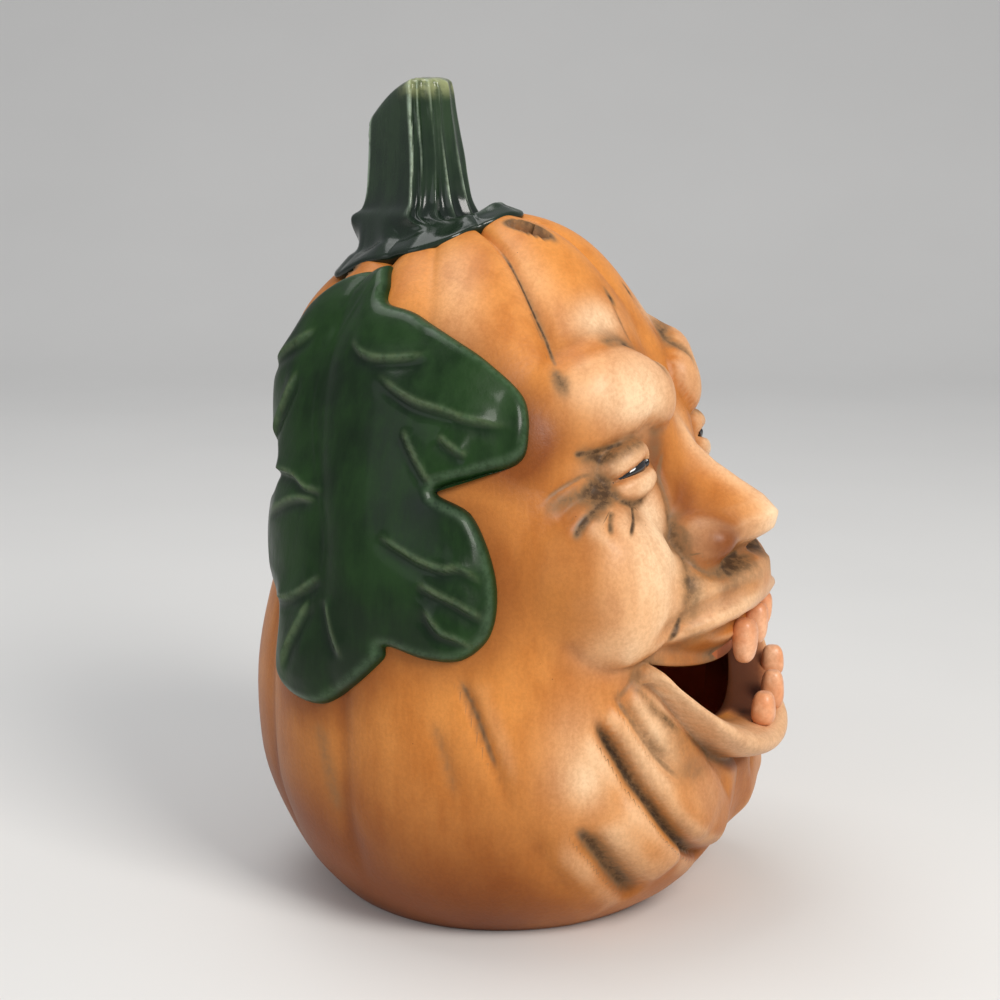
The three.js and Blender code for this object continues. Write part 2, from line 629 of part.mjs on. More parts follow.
// Peg teeth: place across, height of the tip over the mouth's corners, half width and half height
const TOOTH_DEPTH = 3.4;
const UPPER_TOOTH_OUT = 8.2;
const LOWER_TOOTH_OUT = 11;
const TEETH = [
  { name: 'upper_tooth_right', across: 6.5, tip: -7.3, half: 4.1, tall: 6.4, upper: true },
  { name: 'upper_tooth_middle', across: -4, tip: -5, half: 3.5, tall: 6, upper: true },
  { name: 'upper_tooth_left', across: -13, tip: -2.6, half: 3, tall: 5.2, upper: true },
  { name: 'lower_tooth_right', across: 1, tip: -15.2, half: 3.3, tall: 4.9, upper: false },
  { name: 'lower_tooth_middle', across: -11, tip: -12.8, half: 3.4, tall: 5.8, upper: false },
  { name: 'lower_tooth_left', across: -24, tip: -10.2, half: 2.9, tall: 4.6, upper: false },
];

// Pushes a unit ball's surface out towards the cube round it
function blunt(ball, power) {
  const { array } = ball.attributes.position;
  array.forEach((value, i) => { array[i] = signedPower(value, power); });
  return ball;
}

function toothGeometry(tooth) {
  const peg = blunt(new THREE.SphereGeometry(1, 12, 10), 0.75);
  peg.scale(tooth.half, tooth.tall, TOOTH_DEPTH);
  const z = MOUTH_HEIGHT + tooth.tip + (tooth.upper ? tooth.tall : -tooth.tall);
  const out = tooth.upper ? UPPER_TOOTH_OUT : LOWER_TOOTH_OUT;
  const origin = skinPoint(toDegrees(tooth.across), z, profileRadius(z), out);
  const turn = THREE.MathUtils.degToRad(toDegrees(tooth.across));
  const outward = new THREE.Vector3(-Math.sin(turn), -Math.cos(turn), 0);
  const sideways = new THREE.Vector3(-Math.cos(turn), Math.sin(turn), 0);
  return fromManifold(toManifold(placed(peg, frameAt(origin, outward, sideways))).subtract(WALL_WITH_GAP));
}

// The leaf's outline, counted from its middle: distance across and height of its lobes and notches
// as shares of the leaf's length
const LEAF_OUTLINE = [
  [0, 0.545], [-0.05, 0.504], [-0.074, 0.463], [-0.207, 0.43], [-0.347, 0.355], [-0.43, 0.298],
  [-0.496, 0.223], [-0.488, 0.14], [-0.455, 0.091], [-0.355, 0.074], [-0.248, 0.05],
  [-0.331, -0.008], [-0.372, -0.14],
  [-0.355, -0.256], [-0.289, -0.314], [-0.207, -0.314], [-0.116, -0.289], [-0.099, -0.322],
  [0, -0.405], [0.099, -0.455], [0.231, -0.405], [0.248, -0.24], [0.347, -0.182], [0.413, -0.05],
  [0.38, 0.066], [0.331, 0.099], [0.413, 0.198], [0.43, 0.314], [0.347, 0.413], [0.298, 0.479],
  [0.198, 0.529], [0.083, 0.55],
];
const LEAF_STEPS = 60;
const LEAF_RINGS = [0.35, 0.68, 0.88, 0.97, 1];
const LEAF_SECTION = [1, 1, 0.93, 0.72, 0.3];

function leafPlace(edge, share) {
  return { across: LEAF_ACROSS + share * edge.x, z: LEAF_HEIGHT + share * edge.y };
}

// The leaf lies fuller over its rear half
const LEAF_SWELL = { across: LEAF_ACROSS + 40, up: LEAF_HEIGHT + 14, width: 20, height: 45, reach: 2.4 };

function leafPoint(place, out) {
  const degrees = toDegrees(place.across);
  return skinPoint(degrees, place.z, profileRadius(place.z), relief(degrees, place.z) + out);
}

function leafFace(place, section) {
  return leafPoint(place, section * (LEAF_THICKNESS + swell(place.across, place.z, LEAF_SWELL)));
}

function leafGeometry() {
  const corners = [...LEAF_OUTLINE, LEAF_OUTLINE[0]]
    .map(([across, up]) => new THREE.Vector2(across, up).multiplyScalar(LEAF_LENGTH));
  const outline = new THREE.SplineCurve(corners);
  const edges = outline.getPoints(LEAF_STEPS).slice(0, -1);
  const mesh = new SolidMesh();
  const middle = { across: LEAF_ACROSS, z: LEAF_HEIGHT };
  const top = LEAF_RINGS.map((share, i) => edges.map((edge) => (
    mesh.add(leafFace(leafPlace(edge, share), LEAF_SECTION[i])))));
  const under = LEAF_RINGS.map((share) => edges.map((edge) => (
    mesh.add(leafPoint(leafPlace(edge, share), -2)))));
  const last = LEAF_RINGS.length - 1;
  for (let i = 0; i < last; i += 1) {
    mesh.band(top[i + 1], top[i]);
    mesh.band(under[i], under[i + 1]);
  }
  mesh.band(under[last], top[last]);
  mesh.fan(top[0], mesh.add(leafFace(middle, 1)), true);
  mesh.fan(under[0], mesh.add(leafPoint(middle, -2)), false);
  return fromManifold(toManifold(mesh.geometry()).subtract(FILLED));
}

// The stem's rings: share of the calyx's or the stem's radius, and height over the crown or below
// the stem's top
const STEM_SIDES = 40;
const STEM_TOP_FLAT = 0.2 * STEM_RADIUS;
const CALYX_RINGS = [
  { share: 0.96, out: -2.5 },
  { share: 1, out: 2 },
  { share: 0.95, out: 3.6 },
  { share: 0.8, out: 4.6 },
];
const SHAFT_RINGS = [
  { share: 1.22, rise: 0.12 },
  { share: 1.07, rise: 0.28 },
  { share: 1, rise: 0.55 },
  { share: 0.99, rise: 0.93 },
  { share: 0.92, rise: 1 },
];

function calyxLobes(turn) {
  return 1 + 0.05 * Math.cos(5 * turn);
}

function stemFlutes(turn) {
  return 1 + 0.13 * (Math.abs(Math.cos(2.5 * turn)) - 0.6);
}

function stemGeometry() {
  const mesh = new SolidMesh();
  const turns = Array.from({ length: STEM_SIDES }, (_, i) => 2 * Math.PI * i / STEM_SIDES);
  const base = crownPoint(0, STEM_BACK, 0).z;
  const stemTop = CROWN_HEIGHT + STEM_HEIGHT;
  const rings = CALYX_RINGS.map(({ share, out }) => turns.map((turn) => {
    const r = CALYX_RADIUS * share * calyxLobes(turn);
    return mesh.add(crownPoint(-Math.sin(turn) * r, CALYX_BACK - Math.cos(turn) * r, out));
  }));
  for (const { share, rise } of SHAFT_RINGS) {
    rings.push(turns.map((turn) => {
      const r = STEM_RADIUS * share * stemFlutes(turn);
      const y = -Math.cos(turn) * r;
      const top = stemTop - STEM_TOP_SLOPE * (Math.max(y, -STEM_TOP_FLAT) + STEM_TOP_FLAT);
      return mesh.add(new THREE.Vector3(-Math.sin(turn) * r, STEM_BACK + y, mix(base, top, rise)));
    }));
  }
  for (let i = 0; i + 1 < rings.length; i += 1) mesh.band(rings[i], rings[i + 1]);
  const topMiddle = stemTop - STEM_TOP_SLOPE * STEM_TOP_FLAT;
  mesh.fan(rings[rings.length - 1], mesh.add(new THREE.Vector3(0, STEM_BACK, topMiddle)), true);
  mesh.fan(rings[0], mesh.add(crownPoint(0, CALYX_BACK, CALYX_RINGS[0].out)), false);
  return fromManifold(toManifold(mesh.geometry()).subtract(FILLED));
}

// A solid turned about the upright middle line, from [radius, height] pairs
function turned(outline, sides) {
  const profile = outline.map(([r, z]) => new THREE.Vector2(r, z));
  const geometry = new THREE.LatheGeometry(profile, sides);
  geometry.rotateX(Math.PI / 2);
  return geometry;
}

const PLATE_RADIUS = FOOT_RADIUS - WALL - VALLEY_DEPTH / 2 - FIT;
const RING_INNER = CUP_RADIUS + 2 * FIT;

function plateGeometry() {
  const ringTop = PLATE_THICKNESS + RING_HEIGHT;
  return turned([
    [0, 0], [PLATE_RADIUS - 1, 0], [PLATE_RADIUS, 1], [PLATE_RADIUS, PLATE_THICKNESS - 1],
    [PLATE_RADIUS - 1, PLATE_THICKNESS], [RING_INNER + RING_WALL, PLATE_THICKNESS],
    [RING_INNER + RING_WALL, ringTop], [RING_INNER, ringTop], [RING_INNER, PLATE_THICKNESS],
    [0, PLATE_THICKNESS],
  ], 40);
}

const CUP_BASE = PLATE_THICKNESS + PIECE_GAP;
const CUP_FLOOR = CUP_BASE + CUP_WALL;
const TAB_BASE = CUP_FLOOR + PIECE_GAP;
const WAX_BASE = CUP_FLOOR + PIECE_GAP;
const WAX_TOP = WAX_BASE + WAX_HEIGHT;

function cupGeometry() {
  const top = CUP_BASE + CUP_HEIGHT;
  const inner = CUP_RADIUS - CUP_WALL;
  return turned([
    [0, CUP_BASE], [CUP_RADIUS, CUP_BASE], [CUP_RADIUS, top], [inner, top], [inner, CUP_FLOOR],
    [0, CUP_FLOOR],
  ], 36);
}

function waxGeometry() {
  const radius = CUP_RADIUS - CUP_WALL - PIECE_GAP;
  const tabTop = TAB_BASE + TAB_THICKNESS + PIECE_GAP;
  const tab = TAB_RADIUS + PIECE_GAP;
  const bore = WICK_RADIUS + PIECE_GAP;
  return turned([
    [tab, WAX_BASE], [radius, WAX_BASE], [radius, WAX_TOP], [bore, WAX_TOP - 0.6], [bore, tabTop],
    [tab, tabTop], [tab, WAX_BASE],
  ], 36);
}

function tabGeometry() {
  return turned([[0, TAB_BASE], [TAB_RADIUS, TAB_BASE], [TAB_RADIUS, TAB_BASE + TAB_THICKNESS],
    [0, TAB_BASE + TAB_THICKNESS]], 24);
}

function wickGeometry() {
  const low = TAB_BASE + TAB_THICKNESS + PIECE_GAP;
  const high = WAX_TOP + WICK_ABOVE_WAX;
  return turned([
    [0, low], [WICK_RADIUS, low], [WICK_RADIUS, high - 0.5], [0.6 * WICK_RADIUS, high], [0, high],
  ], 12);
}

const part = new THREE.Group();

function addPiece(name, geometry, material) {
  const bare = geometry.clone();
  bare.deleteAttribute('normal');
  bare.deleteAttribute('uv');
  const mesh = new THREE.Mesh(mergeVertices(bare, 1e-4), material);
  mesh.name = name;
  part.add(mesh);
}

const paintedOrange = new THREE.MeshStandardMaterial({ color: 0xbd783e, roughness: 0.5, metalness: 0 });
const toothOrange = new THREE.MeshStandardMaterial({ color: 0xf5ba90, roughness: 0.45, metalness: 0 });
const leafGreen = new THREE.MeshStandardMaterial({ color: 0x1d3416, roughness: 0.25, metalness: 0 });
const stemGreen = new THREE.MeshStandardMaterial({ color: 0x2d3822, roughness: 0.3, metalness: 0 });
const blackGlaze = new THREE.MeshStandardMaterial({ color: 0x0a0a0c, roughness: 0.1, metalness: 0 });
const plainGlaze = new THREE.MeshStandardMaterial({ color: 0xa85f2c, roughness: 0.4, metalness: 0 });
const thinAluminium = new THREE.MeshStandardMaterial({ color: 0xc8c9cc, roughness: 0.35, metalness: 1 });
const whiteWax = new THREE.MeshStandardMaterial({ color: 0xf1ece0, roughness: 0.5, metalness: 0 });
const cotton = new THREE.MeshStandardMaterial({ color: 0xe6dcc6, roughness: 0.9, metalness: 0 });

addPiece('pumpkin_shell', pumpkinShell(), paintedOrange);
addPiece('leaf', leafGeometry(), leafGreen);
addPiece('stem', stemGeometry(), stemGreen);
for (const tooth of TEETH) addPiece(tooth.name, toothGeometry(tooth), toothOrange);
addPiece('right_eye', eyeGeometry(1, 0), blackGlaze);
addPiece('left_eye', eyeGeometry(-1, 0), blackGlaze);
addPiece('candle_plate', plateGeometry(), plainGlaze);
addPiece('tealight_cup', cupGeometry(), thinAluminium);
addPiece('tealight_wax', waxGeometry(), whiteWax);
addPiece('wick_tab', tabGeometry(), thinAluminium);
addPiece('wick', wickGeometry(), cotton);

export default part;
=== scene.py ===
"""Looks of the jack-o-lantern candle holder: a hollow ceramic pumpkin with a laughing face, a green
leaf on its right side and a green stem, over a tea light on a small plate.

Lengths are worked out in millimetres in the model's own frame and written in metres. A place on the
pumpkin is (across, z): across is the distance round from the middle of the face, measured at
FACE_RADIUS and growing towards -X, and z is the height before the upper body leans back. The two
halves of the face mirror each other, so most shapes use a = |across|.
"""
import math

import bpy
import numpy as np
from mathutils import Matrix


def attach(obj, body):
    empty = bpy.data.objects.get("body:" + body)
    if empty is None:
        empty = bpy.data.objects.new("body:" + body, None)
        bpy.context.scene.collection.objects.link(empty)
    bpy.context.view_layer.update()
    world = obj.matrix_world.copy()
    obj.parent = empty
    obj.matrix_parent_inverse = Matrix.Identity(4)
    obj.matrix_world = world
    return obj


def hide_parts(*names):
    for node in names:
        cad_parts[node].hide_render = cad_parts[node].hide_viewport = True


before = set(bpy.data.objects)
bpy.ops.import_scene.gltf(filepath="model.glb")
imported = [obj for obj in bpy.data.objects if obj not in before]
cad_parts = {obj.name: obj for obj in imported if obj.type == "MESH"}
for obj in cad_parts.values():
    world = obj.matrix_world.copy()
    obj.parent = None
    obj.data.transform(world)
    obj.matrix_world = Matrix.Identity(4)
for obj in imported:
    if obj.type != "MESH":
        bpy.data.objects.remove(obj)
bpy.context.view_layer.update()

MM = 0.001
BELLY_RADIUS, BELLY_HEIGHT, CROWN_HEIGHT, FOOT_RADIUS = 72.0, 52.0, 199.0, 50.0
CROWN_RISE = CROWN_HEIGHT - BELLY_HEIGHT
CROWN_POWER, FOOT_POWER = 2.3, 2.4
LEAN_START, LEAN_ANGLE = 50.0, math.radians(12)
BEND = LEAN_ANGLE / (CROWN_HEIGHT - LEAN_START)
WALL = 7.0
FACE_RADIUS = 70.0
MOUTH_Z, MOUTH_REACH, MOUTH_DROP, MOUTH_DIP = 80.0, 41.0, 22.5, 6.0
CROWN_FADE = (0.5, 10)  # radii between which relief dies out at the middle of the crown
VIEW = (0.927, 0.375)  # level direction of the photograph's view


# Shapes on the skin
def smoothstep(x, low, high):
    """3t^2 - 2t^3 with t = (x - low) / (high - low) held to 0..1."""
    t = np.clip((x - low) / (high - low), 0, 1)
    return t * t * (3 - 2 * t)


def smooth_max(a, b, width):
    """max(a, b) + h^2 width / 4 with h = max(width - |a - b|, 0) / width."""
    h = np.clip(width - np.abs(a - b), 0, None) / width
    return np.maximum(a, b) + h * h * width / 4


def signed_power(x, power):
    """|x|^power with the sign of x."""
    return np.sign(x) * np.abs(x) ** power


def bell(x, width, power=2):
    """exp(-(|x| / width)^power)."""
    return np.exp(-((np.abs(x) / width) ** power))


def wrapped(angle, full):
    """The angle brought to within half a turn of 0."""
    return (angle + full / 2) % full - full / 2


def oval(a, z, centre, size):
    """((a - a0) / width)^2 + ((z - z0) / height)^2: 1 on the oval's rim."""
    return ((a - centre[0]) / size[0]) ** 2 + ((z - centre[1]) / size[1]) ** 2


def dome(a, z, centre, size, reach, power=0.8):
    """reach (1 - oval)^power, carried on below the rim with its sign."""
    return reach * signed_power(1 - oval(a, z, centre, size), power)


def swell(a, z, centre, size, reach):
    """reach exp(-oval)."""
    return reach * np.exp(-oval(a, z, centre, size))


def curve(places, steps=10):
    """Catmull-Rom curve through places, with steps points for each stretch."""
    p = np.array(places, float)
    p = np.vstack([2 * p[0] - p[1], p, 2 * p[-1] - p[-2]])
    t = np.linspace(0, 1, steps, endpoint=False)[:, None]
    parts = [
        0.5 * (2 * b + (c - a) * t + (2 * a - 5 * b + 4 * c - d) * t**2 + (3 * b - a - 3 * c + d) * t**3)
        for a, b, c, d in zip(p[:-3], p[1:-2], p[2:-1], p[3:])
    ]
    return np.vstack([*parts, p[-2:-1]])


def near(a, z, line):
    """Least distance from (a, z) to the stretches of a line, the share of its length there, and on
    which side of it the place lies: 1 or -1, by the sign of the cross product."""
    steps = line[1:] - line[:-1]
    lengths = np.hypot(steps[:, 0], steps[:, 1])
    distance = np.full(np.shape(a), 1e9)
    share = np.zeros(np.shape(a))
    side = np.ones(np.shape(a))
    run = 0.0
    for start, step, length in zip(line[:-1], steps, lengths):
        t = np.clip(((a - start[0]) * step[0] + (z - start[1]) * step[1]) / (length**2 + 1e-12), 0, 1)
        d = np.hypot(a - start[0] - t * step[0], z - start[1] - t * step[1])
        closer = d < distance
        distance = np.where(closer, d, distance)
        share = np.where(closer, (run + t * length) / lengths.sum(), share)
        side = np.where(closer, np.sign((a - start[0]) * step[1] - (z - start[1]) * step[0] + 1e-9), side)
        run += length
    return distance, share, side


def faded(share, fade):
    """1 along a line, falling to 0 over its first and last shares."""
    return smoothstep(share, -1e-6, fade[0]) * (1 - smoothstep(share, 1 - fade[1], 1 + 1e-6))


def mark(a, z, places, width, fade=(0.25, 0.35), power=1.5):
    """exp(-(d / width)^power) along a curve, faded out over its first and last shares."""
    distance, share, _ = near(a, z, curve(places))
    return faded(share, fade) * bell(distance, width, power)


def fold(a, z, places, depth, width, roll, fade):
    """A crease, depth exp(-(d / width)^1.5), between two rolls, roll (d / w) exp(1 - d / w) at w =
    2.4 widths on one side and a third of that height on the other."""
    distance, share, side = near(a, z, curve(places))
    reach = distance / (2.4 * width)
    rolls = roll * np.where(side > 0, 1.0, 0.35) * reach * np.exp(1 - reach)
    return faded(share, fade) * (rolls - depth * bell(distance, width, 1.5))


# The plain pumpkin
def profile(z):
    """Radius of the plain pumpkin: two superellipse quarters that meet at the belly."""
    up = np.clip((z - BELLY_HEIGHT) / CROWN_RISE, 0, 1)
    depth = (1 - (FOOT_RADIUS / BELLY_RADIUS) ** FOOT_POWER) ** (1 / FOOT_POWER)
    down = np.clip((BELLY_HEIGHT - z) / BELLY_HEIGHT * depth, 0, 1)
    above = (1 - up**CROWN_POWER) ** (1 / CROWN_POWER)
    below = (1 - down**FOOT_POWER) ** (1 / FOOT_POWER)
    return BELLY_RADIUS * np.where(z >= BELLY_HEIGHT, above, below)


def lean(points):
    """The body over LEAN_START follows an arc that turns BEND for each millimetre, towards +Y."""
    x, y, z = points[..., 0], points[..., 1], points[..., 2]
    turn = BEND * np.clip(z - LEAN_START, 0, None)
    up = np.where(z > LEAN_START, LEAN_START + np.sin(turn) / BEND, z)
    return np.stack([x, (1 - np.cos(turn)) / BEND + y * np.cos(turn), up - y * np.sin(turn)], -1)


def place(across, z, height, radius=None):
    """Point at height along the plain pumpkin's normal; the normal is level below the belly."""
    r = profile(z) if radius is None else radius
    up = np.clip((z - BELLY_HEIGHT) / CROWN_RISE, 0, 1) ** (CROWN_POWER - 1) / CROWN_RISE
    out = np.clip(r / BELLY_RADIUS, 0, 1) ** (CROWN_POWER - 1) / BELLY_RADIUS
    length = np.hypot(up, out)
    distance = r + height * out / length
    turn = across / FACE_RADIUS
    point = [-np.sin(turn) * distance, -np.cos(turn) * distance, z + height * up / length]
    return lean(np.stack(point, -1))


def crown_place(x, y, height):
    """Point over the crown at a place in plan: the lean is undone by stepping, then the profile
    r = hypot(x, y) gives z, and the skin's own height, its valleys bridged by 85%, is added."""
    z = np.full(np.shape(x), CROWN_HEIGHT)
    for _ in range(8):
        turn = BEND * (z - LEAN_START)
        back = (y - (1 - np.cos(turn)) / BEND) / np.cos(turn)
        r = np.hypot(x, back)
        share = np.clip(r / BELLY_RADIUS, 0, 1) ** CROWN_POWER
        z = BELLY_HEIGHT + CROWN_RISE * (1 - share) ** (1 / CROWN_POWER)
    across = np.arctan2(-x, -back) * FACE_RADIUS
    bridged = relief(across, z) - 0.85 * ribs(across, z)
    return place(across, z, bridged * smoothstep(r, *CROWN_FADE) + height, r)


def mouth_shape(a):
    """1 - (a / reach)^2, from the middle of the mouth to its corners."""
    return np.clip(1 - (a / MOUTH_REACH) ** 2, 0, 1)


def mouth_drop(a):
    """How far the lower lip's edge hangs below the mouth's corners: MOUTH_DROP shape^1.15."""
    return MOUTH_DROP * mouth_shape(a) ** 1.15


def sag(a, z):
    """Rows under the mouth's corners sag to the lower lip's edge, fading out towards the foot."""
    x = np.clip(z / MOUTH_Z, 0, 1)
    return z - mouth_drop(a) * x**2 * (1 + 0.6 * (1 - x))


def dip(a, z):
    """Rows over the mouth's corners dip to the upper lip's edge, and no more 30 mm higher."""
    x = np.clip((z - MOUTH_Z) / 30, 0, 1)
    return z - MOUTH_DIP * mouth_shape(a) * (1 - x) ** 2 * (1 + x)


# Relief: the height of the modelled skin over the plain pumpkin.
# Lines that the relief and the paint share
OVER_EYE = [(56, 135.3), (50, 135), (42, 135.3), (33, 136)]
CROW_FOOT = [(45.2, 127.8), (49.8, 129.7), (55.9, 128.8), (63.7, 126), (67.8, 122.3)]
UNDER_EYE = [(49, 121.6), (52.2, 120.5), (57.2, 117.8), (61.1, 113.2)]
UNDER_EYE_SHORT = [(47, 120), (49.5, 117.5), (52, 113.5)]
UNDER_LID = [(37, 120.5), (39.8, 118.8), (43, 116), (47.5, 112.2)]
FOREHEAD_DENT = [(12, 170), (14, 164), (15, 157)]
MOUTH_CORNER = [(42, 79), (47, 75), (52, 70)]
OUTER_FOLD = [(64, 41), (58, 33), (50, 23), (38, 12)]
SIDE_DENT = [(102, 72), (98, 60), (94, 44)]
# valleys: degrees round at the crown and at the foot, share of the upper and of the lower one, how
# much of it is narrow, end of the upper one
VALLEYS = [
    (0, 0, 0.7, 0, 0.4, 162), (42, 44, 0.75, 0, 0.65, 150), (80, 72, 0.3, 0, 0.4, 150),
    (114, 106, 1, 0.65, 0.4, 150), (148, 138, 1, 0.7, 0.4, 150), (180, 180, 1, 0.7, 0.4, 150),
]
# swells of the forehead, the back, the belly and the chin, and the socket round the eye
GROUND_SWELLS = [
    ((0, 188), (46, 17), 4.0), ((200, 176), (50, 20), 7.0), ((200, 64), (50, 28), 2.0),
    ((26, 31), (34, 24), 6.3), ((0, 34), (20, 18), 0.5), ((33.7, 129.2), (19, 8), -5.0),
]
# folds: places, depth, width, roll beside it, shares that fade
FOLDS = [
    ([(58.5, 70), (50, 56), (44, 45.5), (35, 33), (24, 24), (8, 17)], 4.6, 2.3, 2.6, (0.12, 0.12)),
    ([(52, 75), (45, 63), (38.5, 54), (30, 45)], 1.8, 2.0, 1.2, (0.2, 0.4)),
    (OUTER_FOLD, 4.2, 3.4, 2.4, (0.25, 0.15)),
    ([(93.6, 82), (89, 71), (85.6, 61), (78, 39)], 1.7, 1.7, 1.3, (0.15, 0.6)),
    (SIDE_DENT, 0.8, 3.0, 0.6, (0.3, 0.4)), ([(78, 44), (70, 28), (60, 14)], 1.0, 4.0, 0.8, (0.4, 0.3)),
    ([(22, 53), (14, 44), (10, 34)], 1.3, 2.2, 0.8, (0.3, 0.4)),
]
# wrinkles: places, depth, width
WRINKLES = [
    (CROW_FOOT, 0.7, 0.9), ([(48, 125.5), (52.2, 124.2), (58.5, 122.3), (63.7, 118.7)], 1.2, 2.0),
    (UNDER_EYE, 1.5, 1.2), (UNDER_EYE_SHORT, 1.1, 1.1), (UNDER_LID, 0.8, 0.8), (OVER_EYE, 0.8, 0.9),
    ([(38, 159.2), (29, 159), (20, 157.5), (15.5, 151), (14, 143)], 0.7, 1.2), (FOREHEAD_DENT, 0.6, 1.3),
    ([(22.5, 133), (22, 127.8), (22.6, 121), (24.6, 113), (27, 104), (30.5, 95.6), (32.6, 87),
      (38, 82.3)], 0.9, 1.0), ([(20, 129.5), (20.6, 123), (22, 117), (24, 111)], 0.3, 0.8),
    (MOUTH_CORNER, 1.0, 1.3), ([(65, 90), (60, 83.5), (54.7, 80), (47.5, 79.2)], 0.9, 1.8),
]
BROW_LINE = [(17, 146.5), (24, 149.5), (34, 150.5), (50, 147), (64, 141)]
WING_LINE = [(8, 99), (14, 97.8), (20, 98.2), (25, 101.5), (27, 107), (25.5, 112.5)]
EYE_LINE = [(42.6, 126.4), (38.5, 127.6), (33.5, 128.8), (28.5, 129.9)]
NOSE_Z = [91, 95, 99, 102, 105, 108.5, 113, 118, 124, 130, 137, 143, 150]
NOSE_REACH = [-8, -6, 2, 10.5, 18, 20.0, 16.8, 11.2, 5.4, 1.6, -0.8, -1.8, -4]
NOSE_WIDTH = [12, 13, 15, 16.5, 17, 16.5, 16, 15, 14, 13, 11, 9, 7]


def ribs(across, z):
    """Each valley is -4 mm times (1 - n) exp(-(d/10)^2) + n exp(-(d/2.6)^1.6), d in degrees."""
    degrees = np.abs(np.degrees(across / FACE_RADIUS))
    depth = np.zeros(np.shape(z))
    for crown, foot, high, low, narrow, end in VALLEYS:
        d = degrees - foot - (crown - foot) * smoothstep(z, 60, 190)
        section = (1 - narrow) * bell(d, 10) + narrow * bell(d, 2.6, 1.6)
        upper = smoothstep(z, end, end + 22)
        lower = low * smoothstep(z, 8, 30) * (1 - upper)
        depth += 4.0 * (high * upper + lower) * section
    return -depth


def waist(across, z):
    """The back draws in by 5.5 mm round z = 122."""
    behind = smoothstep(np.abs(np.degrees(across / FACE_RADIUS)), 100, 150)
    return 5.5 * behind * bell(z - 122, 34)


def brow(across, z):
    """A roll, 6.6 (1 - (d / w)^2)^p along BROW_LINE, on a wide swell: w grows from 9.8 to 14 mm, and
    p from 0.55 over the eye to 1.5 above it and behind. The left brow is sunk a little."""
    a = np.abs(across)
    d, t, _ = near(a, z, curve(BROW_LINE))
    soft = np.maximum(smoothstep(z, 149, 157), smoothstep(a, 34, 50))
    half = 14.0 * (0.7 + 0.3 * smoothstep(t, 0.0, 0.35))
    roll = np.clip(1 - (d / half) ** 2, 0, 1) ** (0.55 + 0.95 * soft)
    height = 6.6 * (1 - 0.73 * smoothstep(t, 0.5, 0.95)) * roll + swell(a, z, (33, 151), (26, 17), 1.3)
    return height - swell(across, z, (-27, 144), (11, 7), 2.2)


def cheek(a, z):
    """An egg round (49, 101), 11 (1 - oval)^p: p is 0.6 towards the nose and the mouth and 1.5 away
    from them, and each quarter has its own width and height."""
    wide = (a - 49) / np.where(a < 49, 21.5, 25.0)
    tall = (z - 101) / np.where(z < 101, 21.0, 27.0)
    soft = np.maximum(smoothstep(a, 47, 60), smoothstep(z, 104, 122))
    return 11.0 * signed_power(1 - wide**2 - tall**2, 0.6 + 0.9 * soft)


def with_nose(height, a, z):
    """A ridge, NOSE_REACH - 9 (a / NOSE_WIDTH)^1.5, and a dome for the wing are merged in; swells
    cut the nostril, the tip's underside and the nose's root, and WING_LINE parts wing and cheek."""
    ridge = np.interp(z, NOSE_Z, NOSE_REACH) - 9.0 * np.abs(a / np.interp(z, NOSE_Z, NOSE_WIDTH)) ** 1.5
    height = smooth_max(height, ridge, 2.5)
    height = smooth_max(height, dome(a, z, (17.2, 106.0), (9.6, 8.8), 14.2, 0.75), 4.5)
    height = height - swell(a, z, (9, 100.8), (8.0, 2.0), 4.5) - swell(a, z, (0, 101), (22, 2.6), 2.6)
    return height - swell(a, z, (0, 150), (6, 14), 3.0) - 1.6 * mark(a, z, WING_LINE, 1.7, (0.15, 0.2))


def with_lids(height, a, z):
    """Two tilted domes, and between them a slit along EYE_LINE, 2.6 exp(-(d / w)^2), where w grows
    from 0.7 to 1.8 mm towards the nose."""
    tilted = z - 0.14 * (35 - a)
    height = smooth_max(height, dome(a, tilted, (35.2, 131.4), (8.2, 4.8), 3.6, 0.7), 1.2)
    height = smooth_max(height, dome(a, tilted, (34.8, 124.9), (8.8, 3.7), 2.6, 0.7), 1.0)
    d, t, _ = near(a, z, curve(EYE_LINE))
    slit = smoothstep(t, 0.0, 0.12) * (1 - smoothstep(t, 0.93, 1.0))
    return height - 2.6 * slit * bell(d, 0.7 + 1.1 * t)


def with_upper_lip(height, a, z):
    """The lip ends in a roll, 1.8 exp(-((z - e - 2.1) / 1.9)^2) over its edge e, with as deep a
    hollow above it. Under the edge the gum is held to 6 mm, and to 9.4 mm along its own roll."""
    edge = MOUTH_Z + 0.5 + 7.0 * mouth_shape(a) ** 0.9
    ends = smoothstep(a, 3, 16) * (1 - smoothstep(a, 34, MOUTH_REACH + 3))
    height = height + 1.8 * ends * (bell(z - edge - 2.1, 1.9) - bell(z - edge - 6.4, 2.6))
    rim = MOUTH_Z - MOUTH_DIP * mouth_shape(a)
    behind = (1 - smoothstep(z, edge - 1.8, edge + 0.2)) * smoothstep(z, rim - 3, rim - 1)
    behind = behind * (1 - smoothstep(a, MOUTH_REACH - 8, MOUTH_REACH))
    gum = 6 + 3.4 * bell(z - rim - 2.6, 2.8)
    return height * (1 - behind) + behind * np.minimum(height, gum)


